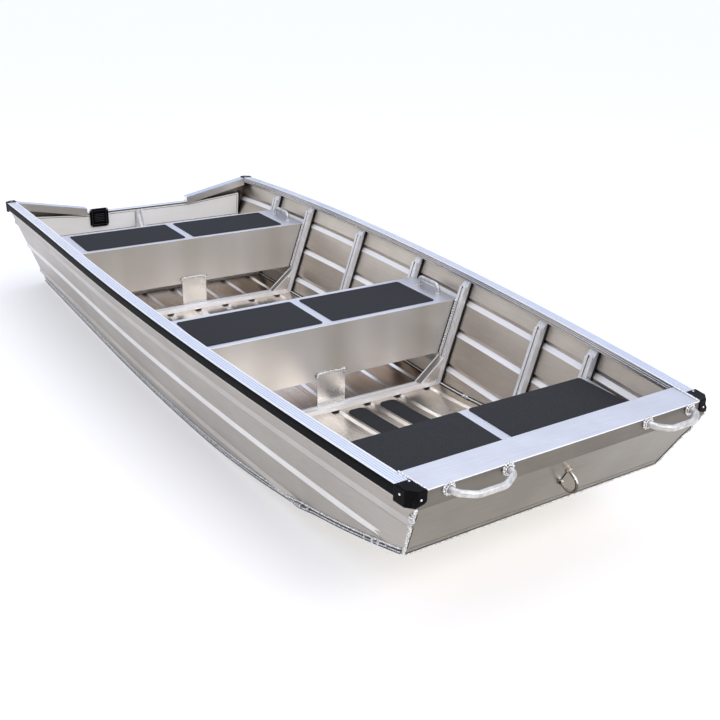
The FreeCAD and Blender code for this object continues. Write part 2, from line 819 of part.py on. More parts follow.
def doubler():
    """Inner panel of the transom, with folds top and bottom that stand it off the plate."""
    off = size("doubler_off")
    low = size("doubler_bottom")
    high = size("doubler_top")
    half = size("doubler_half_width")
    toe = half - size("doubler_toe_in")
    middle = size("cutout_half_width")
    port = [(toe, low), (half, size("doubler_shoulder")), (middle, high)]
    outline = port + [(-y, z) for y, z in port[::-1]]
    panel = prism([V(along(off), y, z) for y, z in outline], V(PLATE, 0, 0))
    foot = block(along(PLATE), along(off), -toe, toe, low, low + PLATE)
    head = block(along(PLATE), along(off), -middle, middle, high - PLATE, high)
    return panel.fuse(foot).fuse(head).removeSplitter()


shaped("transom_doubler", doubler())


def transom_knee():
    """Raked centre channel from the doubler's top edge down to the floor, open towards the bow."""
    back = size("doubler_off") + PLATE
    top = size("doubler_top")
    foot = size("knee_foot")
    depth = size("knee_depth")
    half = size("knee_width") / 2
    seat = size("knee_seat")
    side = [(back, top), (back, top - seat), (foot - depth, FLOOR), (foot, FLOOR), (back + depth, top)]
    body = prism([V(along(x), -half, z) for x, z in side], V(0, 2 * half, 0))
    rake = (foot - depth - back) / (top - seat - FLOOR)
    trough = [
        (back + PLATE, top + seat), (back + PLATE, top - seat), (foot - depth + PLATE + rake * seat, FLOOR - seat),
        (foot + 2 * depth, FLOOR - seat), (foot + depth, FLOOR), (back + 2 * depth, top + seat),
    ]
    hollow = prism([V(along(x), -half + PLATE, z) for x, z in trough], V(0, 2 * (half - PLATE), 0))
    return body.cut(hollow)


shaped("transom_knee", transom_knee())


def motor_pad():
    """Square moulded clamp pad with notched corners on the cut-out's inner face."""
    width = size("motor_pad_width")
    height = size("motor_pad_height")
    notch = width * 0.1
    top = size("cutout_height") + size("motor_pad_above")
    centre = -size("motor_pad_centre")
    start = size("doubler_off") + PLATE
    half = width / 2
    low = top - height
    points = [
        (-half + notch, low), (half - notch, low), (half - notch, low + notch), (half, low + notch),
        (half, top - notch), (half - notch, top - notch), (half - notch, top), (-half + notch, top),
        (-half + notch, top - notch), (-half, top - notch), (-half, low + notch), (-half + notch, low + notch),
    ]
    return prism([V(along(start), centre + y, z) for y, z in points], V(size("motor_pad_thick"), 0, 0))


shaped("motor_clamp_pad", motor_pad())


def ring(point, heading, radius):
    """Regular outline of a bar's section, square to its heading."""
    sides = int(size("bar_sides"))
    across = heading.cross(V(0, 1, 0))
    if across.Length < 0.5:
        across = heading.cross(V(0, 0, 1))
    across = across.normalize()
    other = heading.cross(across)
    corners = []
    for index in range(sides):
        turn = 2 * math.pi * index / sides
        corners.append(point + across * (radius * math.cos(turn)) + other * (radius * math.sin(turn)))
    return Part.makePolygon(corners + [corners[0]])


def tube(points, radii, bar):
    """Bar along straight runs joined by tangent arcs."""
    edges = []
    start = points[0]
    for index in range(1, len(points) - 1):
        corner = points[index]
        towards = (points[index - 1] - corner).normalize()
        away = (points[index + 1] - corner).normalize()
        turn = math.pi - towards.getAngle(away)
        setback = radii[index - 1] * math.tan(turn / 2)
        first = corner + towards * setback
        last = corner + away * setback
        bisector = (towards + away).normalize()
        centre = corner + bisector * (radii[index - 1] / math.cos(turn / 2))
        middle = centre - bisector * radii[index - 1]
        edges.append(Part.makeLine(start, first))
        edges.append(Part.Arc(first, middle, last).toShape())
        start = last
    edges.append(Part.makeLine(start, points[-1]))
    path = Part.Wire(edges)
    heading = (points[1] - points[0]).normalize()
    return path.makePipeShell([ring(points[0], heading, bar / 2)], True, False)


def collar(point, heading, bar, thick):
    """Thick weld collar at the foot of a bar."""
    foot = ring(point, heading, bar / 2 + thick)
    neck = ring(point + heading * thick, heading, bar / 2 + 1)
    return Part.makeLoft([foot, neck], True, True)


def grab_handle(aft, front, y_centre):
    """Inverted U of round bar on a bench top, lying fore and aft."""
    bar = size("grab_bar")
    base = size("bench_height")
    half = size("grab_length") / 2
    top = base + size("grab_height")
    centre = (aft + front) / 2 + size("grab_forward")
    points = [
        V(along(centre - half), y_centre, base), V(along(centre - half), y_centre, top),
        V(along(centre + half), y_centre, top), V(along(centre + half), y_centre, base),
    ]
    body = tube(points, [size("grab_bend"), size("grab_bend")], bar)
    for foot in (points[0], points[-1]):
        body = body.fuse(collar(foot, V(0, 0, 1), bar, size("grab_collar")))
    return body.removeSplitter()


handles = []
for aft, front in (("one", "two"), ("four", "five")):
    station = size("rib_station_" + aft)
    edge = rib_inboard(station, size("bench_height"))
    handles.append(grab_handle(station, size("rib_station_" + front), edge - size("grab_inset")))
shaped("bench_grab_handles", Part.makeCompound(handles))


def bow_handle(centre):
    """Bent tube lifting handle that stands out from the bow's lip and droops a little."""
    bar = size("bow_handle_bar")
    foot_z = deck_top - size("bow_handle_down")
    half = size("bow_handle_span") / 2
    out = size("bow_handle_reach")
    inner = half - size("bow_handle_shoulder")
    low = foot_z - size("bow_handle_drop")
    face = along(LENGTH)
    points = [
        V(face, centre - half, foot_z), V(face + out / 2, centre - half, foot_z),
        V(face + out, centre - inner, low), V(face + out, centre + inner, low),
        V(face + out / 2, centre + half, foot_z), V(face, centre + half, foot_z),
    ]
    bend = size("bow_handle_bend")
    body = tube(points, [bend, 2 * bend, 2 * bend, bend], bar)
    for foot in (points[0], points[-1]):
        body = body.fuse(collar(foot, V(1, 0, 0), bar, size("handle_collar")))
    return body.removeSplitter()


def bow_eye():
    """Vertical U-bolt through the raked bow plate, with a collar at each leg."""
    fold = sheer(LENGTH) - size("bow_lip")
    slope = bow_slope()
    rake = V(-slope, 0, -1).normalize()
    normal = V(1, 0, -slope).normalize()
    high = deck_top - size("eye_down")
    middle = V(along(BOW_X - slope * (fold - high)), size("bow_fittings_shift"), high)
    spread = size("eye_spread") / 2
    reach = size("eye_reach")
    bar = size("eye_bar")
    upper = middle - rake * spread
    lower = middle + rake * spread
    points = [upper, upper + normal * reach, lower + normal * reach, lower]
    body = tube(points, [spread * 0.98, spread * 0.98], bar)
    for leg in (upper, lower):
        washer = Part.Face(ring(leg, normal, size("eye_collar") / 2)).extrude(normal * bar)
        body = body.fuse(washer)
    return body.removeSplitter()


SHIFT = size("bow_fittings_shift")
port_handle = bow_handle(SHIFT + size("bow_handle_centre"))
starboard_handle = bow_handle(SHIFT - size("bow_handle_centre"))
shaped("bow_handles_and_eye", Part.makeCompound([port_handle, starboard_handle, bow_eye()]))


def bracket(label, front):
    """Plate that props the bench's front wall from the floor rib."""
    start = "(sizes.rib_station_%s - %s)" % (front, HALF_RIB)
    mid = "sizes.mid_station"
    low = "sizes.floor_rib_%s_top" % front
    high = "(sizes.bench_height - sizes.bench_drop + sizes.bracket_overlap)"
    body, pad = padded_body(
        label, "YZ_Plane",
        [("-sizes.bracket_width / 2", low), ("sizes.bracket_width / 2", low),
         ("sizes.bracket_width / 2", high), ("-sizes.bracket_width / 2", high)],
        "sizes.bracket_plate", "%s - %s" % (start, mid),
    )
    return keep(body, label)


bracket("stern_bench_bracket", "two")
bracket("middle_bench_bracket", "five")


def floor_pads():
    """Long anti-slip pads between the grooves of the forward bay."""
    width = size("floor_pad_width")
    aft = size("floor_pad_aft")
    thick = size("pad_thick")
    section = [(-WIDE, FLOOR), (WIDE, FLOOR), (WIDE, FLOOR + thick), (-WIDE, FLOOR + thick)]
    skin = swept_floor(section, LENGTH)
    strips = []
    for index in (0.5, 1.5):
        centre = index * size("groove_pitch")
        low = V(along(aft), centre - width / 2, 0)
        outline = Part.makeBox(size("floor_pad_length"), width, TALL, low)
        upright = [edge for edge in outline.Edges if abs(edge.Vertexes[0].Z - edge.Vertexes[1].Z) > TALL / 2]
        outline = outline.makeFillet(width * 0.32, upright)
        strips.append(skin.common(outline))
    return Part.makeCompound(strips)


shaped("floor_pads", floor_pads())


bung = document.addObject("Part::Prism", "drain_bung")
bung.setExpression("Polygon", "sizes.bar_sides")
bung.setExpression("Circumradius", "sizes.bung_radius")
bung.setExpression("Height", "sizes.bung_proud")
bung.setExpression("Placement.Base.x", "-sizes.bung_proud - sizes.mid_station")
bung.setExpression("Placement.Base.y", "sizes.bung_station_y")
bung.setExpression("Placement.Base.z", "sizes.groove_depth + sizes.plate + 1.8 * sizes.bung_radius")
bung.Placement = FreeCAD.Placement(bung.Placement.Base, FreeCAD.Rotation(V(0, 1, 0), 90))
keep(bung, "drain_bung")

document.recompute()

for item in document.Objects:
    if "Invalid" in item.State or "Error" in item.State:
        raise RuntimeError("%s failed: %s" % (item.Label, item.State))
for item in parts:
    if item.Shape.isNull() or not item.Shape.isValid() or not item.Shape.Solids:
        raise RuntimeError("%s has no valid solid" % item.Label)

os.makedirs("parts", exist_ok=True)
for item in parts:
    item.Shape.exportStep("parts/%s.step" % item.Label)
    print("%-28s solids %d volume %.0f" % (item.Label, len(item.Shape.Solids), item.Shape.Volume))
print("sub-parts", len(parts), "volume", round(sum(item.Shape.Volume for item in parts)))
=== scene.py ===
"""Looks of a welded aluminium rowing boat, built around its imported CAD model. Metres, +X to the bow."""
import math

import bpy
from mathutils import Matrix, Vector


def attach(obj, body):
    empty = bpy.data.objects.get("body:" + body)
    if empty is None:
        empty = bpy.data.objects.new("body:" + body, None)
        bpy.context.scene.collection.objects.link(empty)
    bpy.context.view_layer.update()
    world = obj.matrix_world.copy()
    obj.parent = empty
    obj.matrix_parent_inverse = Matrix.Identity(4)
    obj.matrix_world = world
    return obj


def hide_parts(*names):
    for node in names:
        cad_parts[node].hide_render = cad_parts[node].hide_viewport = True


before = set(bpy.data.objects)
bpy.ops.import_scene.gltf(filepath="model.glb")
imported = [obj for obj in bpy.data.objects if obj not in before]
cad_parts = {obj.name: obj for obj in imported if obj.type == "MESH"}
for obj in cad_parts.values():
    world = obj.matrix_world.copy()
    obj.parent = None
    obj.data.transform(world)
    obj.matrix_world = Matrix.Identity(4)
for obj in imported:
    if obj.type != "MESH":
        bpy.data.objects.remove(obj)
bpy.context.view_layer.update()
BODY = "root"

# The hull's own lines, repeated from the part's sizes, in metres

HULL_LENGTH = 3.660
MID_STATION = 1.862
WIDEST = HULL_LENGTH * 0.328
BEAM_WIDEST = 0.753
BEAM_STERN = BEAM_WIDEST * 0.983
BEAM_BOW = BEAM_WIDEST * 0.7915
SHEER_STERN = 0.492
SHEER_WIDEST = 0.521
SHEER_BOW = 0.500
FLARE_STERN = 0.358
FLARE_BOW = 0.277
PLATE = 0.003
GROOVE = 0.008
RISE_START = HULL_LENGTH * 0.59
BOW_RAKE = 0.112
BOW_FOOT = (HULL_LENGTH - BOW_RAKE, 0.224)
BOW_LIP = 0.055
SWAGE_OUT = 0.010
SWAGE_FLANK = 0.018
SWAGES = (0.125, 0.266, 0.423)
SWAGE_FADE_START = 0.92
SWAGE_FADE_RUN = 0.05
GUNWALE_WIDTH = 0.048
GUNWALE_DEPTH = 0.030
DECK_DEPTH = 0.118
CHINE_LAP = 0.012
RIB_HALF = 0.020
RIB_DEPTH = 0.036
FLOOR_RIB = 0.024
RIB_STATIONS = [HULL_LENGTH * share
                for share in (0.1273, 0.2322, 0.3749, 0.5164, 0.623, 0.7683, 0.8525)]
BENCH_TOP = 0.394
BENCH_DROP = 0.240
FITTINGS_SHIFT = 0.012


def along(station):
    """Boat coordinate of a station measured forward from the transom."""
    return station - MID_STATION


def eased(station, at_stern, at_widest, at_bow):
    """Value that is level at the widest station and leaves it as a square towards both ends."""
    if station < WIDEST:
        return at_widest - (at_widest - at_stern) * ((WIDEST - station) / WIDEST) ** 2
    return at_widest - (at_widest - at_bow) * ((station - WIDEST) / (HULL_LENGTH - WIDEST)) ** 2


def half_beam(station):
    """Half-breadth at the gunwale's outer edge."""
    return eased(station, BEAM_STERN, BEAM_WIDEST, BEAM_BOW)


def sheer(station):
    """Height of the gunwale's top."""
    return eased(station, SHEER_STERN, SHEER_WIDEST, SHEER_BOW)


def flare(station):
    """How far the side leans out for each metre of height."""
    return FLARE_STERN + (FLARE_BOW - FLARE_STERN) * station / HULL_LENGTH


def keel(station):
    """Height of the bottom plate's underside between its grooves, a circle's rise towards the bow."""
    run = BOW_FOOT[0] - RISE_START
    rise = BOW_FOOT[1] - GROOVE
    radius = (run ** 2 + rise ** 2) / (2 * rise)
    reach = max(0.0, station - RISE_START)
    return GROOVE + radius - math.sqrt(radius ** 2 - reach ** 2)


def side_half(station, height):
    """Half-breadth of the side's outer face without its swages."""
    return half_beam(station) - flare(station) * (sheer(station) - height)


def skin_half(station, height):
    """Half-breadth of the side's outer face, swages included."""
    depth = sheer(station) - height
    # Only the middle swage fades out before the bow.
    gone = min(1.0, max(0.0, (station / HULL_LENGTH - SWAGE_FADE_START) / SWAGE_FADE_RUN))
    fade = 1 - gone * gone * (3 - 2 * gone)
    stand = 0.0
    for swage, share in zip(SWAGES, (1.0, fade, 1.0)):
        stand = max(stand, share * SWAGE_OUT * (1 - abs(depth - swage) / SWAGE_FLANK))
    return side_half(station, height) + stand


def rib_inboard(station, height):
    """Half-breadth of a rib's inner face."""
    return side_half(station, height) - PLATE - RIB_DEPTH


def evenly(first, last, count):
    """Evenly spaced values from the first to the last."""
    return [first + (last - first) * i / count for i in range(count + 1)]


# Colour and nodes

# The colour sockets of a mix node share their names with its other kinds, so they go by number.
UNDER, OVER, MIXED = 6, 7, 2


def colour(code):
    """A hex sRGB colour as linear RGBA."""
    channels = [int(code[i:i + 2], 16) / 255 for i in (1, 3, 5)]
    return tuple(c / 12.92 if c <= 0.04045 else ((c + 0.055) / 1.055) ** 2.4 for c in channels) + (1.0,)


def add_node(tree, kind, links=(), stops=(), **settings):
    """One node with its settings; links are pairs of input name or number and value or socket.

    stops are pairs of a place on a colour ramp and the colour there.
    """
    node = tree.nodes.new(kind)
    for name, value in settings.items():
        setattr(node, name, value)
    for socket, value in links:
        if isinstance(value, bpy.types.NodeSocket):
            tree.links.new(value, node.inputs[socket])
        else:
            node.inputs[socket].default_value = value
    for number, (position, tone) in enumerate(stops):
        ramp = node.color_ramp.elements
        stop = ramp[number] if number < len(ramp) else ramp.new(position)
        stop.position = position
        stop.color = tone
    return node


def new_material(name):
    material = bpy.data.materials.new(name)
    material.use_nodes = True
    tree = material.node_tree
    shader = tree.nodes["Principled BSDF"]
    return material, tree, shader


def stretched(tree, scale):
    """Object coordinates scaled along each axis."""
    place = add_node(tree, "ShaderNodeTexCoord")
    return add_node(tree, "ShaderNodeMapping",
                    [("Vector", place.outputs["Object"]), ("Scale", scale)]).outputs[0]


def sheet_tone(tree, mottle, dull, pale):
    """Tone of a sheet between its dull and its pale patches."""
    return add_node(tree, "ShaderNodeValToRGB", [("Fac", mottle)],
                    stops=((0.33, colour(dull)), (0.66, colour(pale)))).outputs["Color"]


def surface_noise(tree, grain, cloud, cloud_detail, lines):
    """Fine rolling lines, and their blend with the clouds that handling leaves."""
    fine = add_node(tree, "ShaderNodeTexNoise",
                    [("Vector", stretched(tree, grain)), ("Scale", 1.0), ("Detail", 3.0),
                     ("Roughness", 0.6)])
    clouds = add_node(tree, "ShaderNodeTexNoise",
                      [("Vector", stretched(tree, cloud)), ("Scale", 1.0), ("Detail", cloud_detail),
                       ("Roughness", 0.55)])
    blend = add_node(tree, "ShaderNodeMix",
                     [("Factor", lines), ("A", clouds.outputs["Fac"]), ("B", fine.outputs["Fac"])])
    return fine.outputs["Fac"], blend.outputs["Result"]


def hull_inside(tree, facing, place):
    """1 on faces that look towards the centreline, 0 on those that look away from it."""
    side = add_node(tree, "ShaderNodeMath", [(0, facing.outputs["Y"]), (1, place.outputs["Y"])],
                    operation="MULTIPLY")
    return add_node(tree, "ShaderNodeMath", [(0, side.outputs[0]), (1, 0.0)],
                    operation="LESS_THAN").outputs[0]


def upward_part(tree, facing, place, limit, shares, inner):
    """1 on faces that look up past the limit; shares weaken it by height on the hull's outer faces."""
    part = add_node(tree, "ShaderNodeMath", [(0, facing.outputs["Z"]), (1, limit)],
                    operation="GREATER_THAN").outputs[0]
    if not shares:
        return part
    bands = add_node(tree, "ShaderNodeValToRGB", [("Fac", place.outputs["Z"])],
                     stops=[(height, (share, share, share, 1.0)) for height, share in shares])
    bands.color_ramp.interpolation = "CONSTANT"
    kept = add_node(tree, "ShaderNodeMath", [(0, bands.outputs["Color"]), (1, inner)],
                    operation="MAXIMUM")
    return add_node(tree, "ShaderNodeMath", [(0, part), (1, kept.outputs[0])],
                    operation="MULTIPLY").outputs[0]


def corner_shading(tree, tone, corner_shade, shade_spared, part):
    """Painted shade where surfaces close in; shade_spared is how far faces that don't look up are spared
    it.
    """
    shade_tone, reach, least, most = corner_shade
    open_sky = add_node(tree, "ShaderNodeAmbientOcclusion", [("Distance", reach)], samples=6)
    shaded = add_node(tree, "ShaderNodeMapRange",
                     [("Value", open_sky.outputs["AO"]), ("From Min", most), ("From Max", least),
                      ("To Min", 0.0), ("To Max", 1.0)])
    if shade_spared:
        spared = add_node(tree, "ShaderNodeMapRange",
                          [("Value", part), ("To Min", 1.0 - shade_spared), ("To Max", 1.0)])
        shaded = add_node(tree, "ShaderNodeMath", [(0, shaded.outputs[0]), (1, spared.outputs[0])],
                         operation="MULTIPLY")
    return add_node(tree, "ShaderNodeMix",
                    [("Factor", shaded.outputs[0]), (UNDER, tone), (OVER, colour(shade_tone))],
                    data_type="RGBA").outputs[MIXED]


def edge_glint_tone(tree, tone, rounded, face, edge_glint):
    """Painted highlight: white where the rounded edge leaves the flat face."""
    flat = add_node(tree, "ShaderNodeVectorMath",
                    [(0, rounded.outputs[0]), (1, face.outputs["True Normal"])],
                    operation="DOT_PRODUCT")
    glint_share = add_node(tree, "ShaderNodeMapRange",
                    [("Value", flat.outputs["Value"]), ("From Min", 0.98), ("From Max", 0.85),
                     ("To Max", edge_glint)])
    return add_node(tree, "ShaderNodeMix",
                    [("Factor", glint_share.outputs[0]), (UNDER, tone), (OVER, colour("#ffffff"))],
                    data_type="RGBA").outputs[MIXED]


def sheet_relief(tree, rounded, fine, wave, wave_size, grain_depth):
    """Normal of a softly rounded sheet with slow waves and fine scratches."""
    buckle = add_node(tree, "ShaderNodeTexNoise",
                      [("Vector", stretched(tree, wave_size)), ("Scale", 1.0), ("Detail", 1.0)])
    slow = add_node(tree, "ShaderNodeBump",
                    [("Height", buckle.outputs["Fac"]), ("Strength", 1.0), ("Distance", wave),
                     ("Normal", rounded.outputs[0])])
    return add_node(tree, "ShaderNodeBump",
                    [("Height", fine), ("Strength", 1.0), ("Distance", grain_depth),
                     ("Normal", slow.outputs[0])]).outputs[0]


INSIDE_LIT_METAL = 0.1


def sheet_metal(name, pale, dull, grain, roughness, swing=0.06, wave=0.0, wave_size=(2, 5, 1),
                edge=0.002, cloud=(3, 3, 3), lines=0.35, grain_depth=0.00003, metal=1.0, edge_glint=0.0,
                upward=None, rise=0.5, upward_shares=None, inside=None, inside_upward=None,
                inside_rise=0.5, corner_shade=None, shade_spared=0.0, cloud_detail=4.0):
    """Mill-finish aluminium: rolling lines, clouds of handling, slow waves, soft bent edges.

    grain, cloud and wave_size are cycles per metre along each axis; lines is the grain's share of tone.
    wave is the depth of the slow waves, edge the rounding and grain_depth the scratches, in metres.
    metal is how far the surface mirrors rather than scatters; edge_glint is how white its edges are
    painted as a highlight.
    upward is the painted highlight tone of faces that look up past the rise, in shares that change with
    height.
    inside and inside_upward are the tones of the hull's inner faces, painted lighter and warmer as light
    falls inside; the upward ones are a painted highlight with less metal.
    corner_shade is the tone of painted shade, its reach and the two ends of the range in which surfaces
    close in.
    """
    material, tree, shader = new_material(name)
    fine, mottle = surface_noise(tree, grain, cloud, cloud_detail, lines)
    face = add_node(tree, "ShaderNodeNewGeometry")
    facing = add_node(tree, "ShaderNodeSeparateXYZ", [(0, face.outputs["True Normal"])])
    place = add_node(tree, "ShaderNodeSeparateXYZ", [(0, stretched(tree, (1, 1, 1)))])
    tone = sheet_tone(tree, mottle, dull, pale)
    limit, inner, part = rise, None, None
    # Inner faces take a lighter, warmer copy of the tones: painted light.
    if inside:
        inner = hull_inside(tree, facing, place)
        tone = add_node(tree, "ShaderNodeMix",
                        [("Factor", inner), (UNDER, tone), (OVER, sheet_tone(tree, mottle, *inside))],
                        data_type="RGBA").outputs[MIXED]
        limit = add_node(tree, "ShaderNodeMapRange",
                         [("Value", inner), ("To Min", rise), ("To Max", inside_rise)]).outputs[0]
    # Faces that look up take a paler tone: painted highlight, on tops a painted reflection of the sky.
    if upward:
        part = upward_part(tree, facing, place, limit, upward_shares, inner)
        lit_tone = sheet_tone(tree, mottle, *upward)
        if inside_upward:
            lit_tone = add_node(tree, "ShaderNodeMix",
                             [("Factor", inner), (UNDER, lit_tone),
                              (OVER, sheet_tone(tree, mottle, *inside_upward))],
                             data_type="RGBA").outputs[MIXED]
        tone = add_node(tree, "ShaderNodeMix", [("Factor", part), (UNDER, tone), (OVER, lit_tone)],
                        data_type="RGBA").outputs[MIXED]
    # Painted shade where surfaces close in.
    if corner_shade:
        tone = corner_shading(tree, tone, corner_shade, shade_spared, part)
    rounded = add_node(tree, "ShaderNodeBevel", [("Radius", edge)], samples=4)
    # Rounded edges painted white as a highlight.
    if edge_glint:
        tone = edge_glint_tone(tree, tone, rounded, face, edge_glint)
    gloss = add_node(tree, "ShaderNodeMapRange",
                     [("Value", mottle), ("From Min", 0.3), ("From Max", 0.7),
                      ("To Min", roughness + swing), ("To Max", roughness - swing)])
    tree.links.new(tone, shader.inputs["Base Color"])
    tree.links.new(gloss.outputs["Result"], shader.inputs["Roughness"])
    tree.links.new(sheet_relief(tree, rounded, fine, wave, wave_size, grain_depth),
                   shader.inputs["Normal"])
    shader.inputs["Metallic"].default_value = metal
    # Less metal on the painted highlight of the upward inner faces, so they scatter more light.
    if inside_upward:
        lit_inside = add_node(tree, "ShaderNodeMath", [(0, part), (1, inner)], operation="MULTIPLY")
        mirror = add_node(tree, "ShaderNodeMapRange",
                          [("Value", lit_inside.outputs[0]), ("To Min", metal), ("To Max", INSIDE_LIT_METAL)])
        tree.links.new(mirror.outputs[0], shader.inputs["Metallic"])
    return material


# Cold-rolled hull sheet: dull grey outside, mottled from handling; inner faces a lighter, warmer copy as
# painted light; faces that look up a painted highlight, strongest on the middle swage outside; painted
# shade in its corners and under the gunwale.
hull_sheet = sheet_metal("mill_finish_hull_sheet", pale="#b8b3ac", dull="#aba59e", grain=(5, 120, 120),
                         roughness=0.36, wave=0.004, upward=("#d3d1ce", "#e3e2e0"), rise=0.0,
                         inside=("#cdc4b8", "#ded6cb"), inside_upward=("#fdf7ee", "#ffffff"),
                         upward_shares=((0.0, 0.15), (0.15, 1.0), (0.32, 0.22)),
                         corner_shade=("#4a4239", 0.11, 0.12, 0.72))
# Raked bow plate: a darker copy of the side sheet, painted shade for a plate that looks down.
bow_sheet = sheet_metal("mill_finish_bow_sheet", pale="#8c877e", dull="#827c73", grain=(120, 8, 120),
                        roughness=0.33, swing=0.04, wave=0.002)
# Bottom sheet: bright, streaks fore and aft; faces that look up painted brown as shade under the benches,
# other faces such as the groove flanks painted pale as a highlight.
floor_sheet = sheet_metal("mill_finish_floor_sheet", pale="#ffffff", dull="#f4f0ea",
                          grain=(4, 160, 160), roughness=0.30, swing=0.06, wave=0.0035,
                          wave_size=(3, 6, 3), cloud=(2, 9, 2), upward=("#d3cbc0", "#fbf7f1"),
                          rise=0.93, corner_shade=("#a87a40", 0.6, 0.10, 0.40), shade_spared=1.0)
# Clean bench sheet: brushed across the boat, upright bands of painted sheen in its tone over a wavy wall,
# tops painted faintly blue as a reflection of the sky, edges painted white as a highlight, painted shade
# in its corners.
bench_sheet = sheet_metal("brushed_bench_sheet", pale="#e6e2dc", dull="#cbc5bb", grain=(260, 9, 260),
                          roughness=0.42, wave=0.007, wave_size=(0.6, 4, 0.5), edge=0.003,
                          cloud=(0.4, 4.5, 0.6), lines=0.06, metal=0.8, edge_glint=0.8,
                          upward=("#cfd1d6", "#dddfe5"), corner_shade=("#6d6457", 0.03, 0.3, 0.5),
                          cloud_detail=1.0)
# Deck sheet: top painted pale and faintly blue as a reflection of the sky, front lip painted dull as
# shade.
deck_sheet = sheet_metal("brushed_deck_sheet", pale="#807b73", dull="#76716a", grain=(200, 8, 200),
                         roughness=0.46, edge=0.003, cloud=(5, 5, 5), upward=("#cccdd2", "#dfe0e5"))
# Drawn rail extrusion: die lines along its length; its top painted pale blue as a reflection of the sky,
# its inner face painted bright, its edges painted white as a highlight.
rail_alloy = sheet_metal("drawn_rail_alloy", pale="#c9c5bf", dull="#b9b4ad", grain=(3, 260, 260),
                         roughness=0.28, edge=0.002, lines=0.2, edge_glint=0.8,
                         upward=("#e8edf6", "#f9fbff"), inside=("#f2f2f4", "#ffffff"))
# Rib channel: bright, brushed up and down in strong streaks, painted shade in its corners, edges painted
# white as a highlight.
rib_alloy = sheet_metal("brushed_rib_alloy", pale="#ffffff", dull="#dad6d0", grain=(200, 200, 8),
                        roughness=0.34, edge=0.003, cloud=(14, 14, 5), lines=0.6, metal=0.3, edge_glint=1.0,
                        corner_shade=("#3a3530", 0.014, 0.2, 0.4))
# The same stock laid across the floor: streaks run across the boat; painted shade in its corners, edges
# painted white as a highlight.
cross_alloy = sheet_metal("brushed_cross_alloy", pale="#ffffff", dull="#e3dfd9", grain=(200, 6, 200),
                          roughness=0.34, edge=0.003, cloud=(9, 4, 9), lines=0.4, metal=0.15,
                          edge_glint=1.0, corner_shade=("#3a3530", 0.02, 0.2, 0.36))
# Gussets and bracket plates: smooth cut sheet that mirrors its surroundings, edges painted white as a
# highlight, painted shade in their corners.
plate_alloy = sheet_metal("smooth_plate_alloy", pale="#efece6", dull="#dedad3", grain=(120, 120, 120),
                          roughness=0.30, edge=0.003, cloud=(8, 8, 8), lines=0.1, wave=0.0015,
                          wave_size=(6, 6, 6), metal=0.8, edge_glint=1.0, corner_shade=("#3a3530", 0.02, 0.2, 0.4))
# Box extrusions beside the cut-out: grey cheeks, tops painted faintly blue as a reflection of the sky,
# edges painted white as a highlight, painted shade in their corners.
box_alloy = sheet_metal("drawn_box_alloy", pale="#fbf9f6", dull="#e8e5df", grain=(200, 6, 200),
                        roughness=0.32, edge=0.0015, lines=0.3, edge_glint=0.9,
                        upward=("#bfc8d8", "#dbe3f0"), corner_shade=("#3a3530", 0.03, 0.2, 0.42))
# Painted highlight along the edge of a fold or lap.
bright_edge = sheet_metal("painted_edge_highlight", pale="#ffffff", dull="#f2f2f2", grain=(60, 60, 60),
                          roughness=0.4, cloud=(8, 8, 8), metal=0.2)
# Painted shade of the shallow lines drawn in the rail by its die, only a little darker than the metal.
die_line = sheet_metal("die_line_shade", pale="#b2bac9", dull="#9da5b4", grain=(20, 200, 200),
                       roughness=0.4, cloud=(20, 20, 20), metal=0.8)
# Shade in a crease or groove of the sheet.
crease_shade = sheet_metal("crease_shade", pale="#7f7a73", dull="#6f6a63", grain=(40, 20, 40),
                           roughness=0.4, cloud=(20, 20, 20), metal=0.8)
# Handle bar stock, handled and a little cloudy, with painted shade where it closes in on other parts.
tube_alloy = sheet_metal("brushed_tube_alloy", pale="#dddbd7", dull="#b4b2ad", grain=(60, 60, 60),
                         roughness=0.4, swing=0.03, cloud=(30, 30, 30), grain_depth=0.00001, metal=0.75,
                         corner_shade=("#4a4742", 0.010, 0.25, 0.5))
# Pale transom doubler, freshly cut and hardly mirroring, its edges painted white as a highlight.
doubler_sheet = sheet_metal("pale_doubler_sheet", pale="#fffefa", dull="#f9f5ec", grain=(60, 5, 160),
                            roughness=0.6, metal=0.0, edge_glint=0.5)
# Stainless bar of the U-bolt: browner and sharper than the alloy, painted dark as a reflection of dark
# surroundings, with a painted cream highlight on faces that look up.
eye_steel = sheet_metal("stainless_eye_bar", pale="#6f665d", dull="#4a433c", grain=(90, 90, 90),
                        roughness=0.16, swing=0.02, cloud=(30, 30, 30), edge=0.0006,
                        upward=("#f3e8da", "#fffaf0"), rise=0.35)
# Polished pan-head screws.
screw_steel = sheet_metal("polished_screw_steel", pale="#f6f6f6", dull="#dcdcdc", grain=(300, 300, 300),
                          roughness=0.25, cloud=(60, 60, 60), metal=0.7)
# Painted shade: a dull dark line beside a seam or in a narrow gap.
shade_line_finish = sheet_metal("painted_shade_line", pale="#3a3530", dull="#1f1c19", grain=(200, 200, 200),
                        roughness=0.6, cloud=(60, 60, 60), metal=0.3)


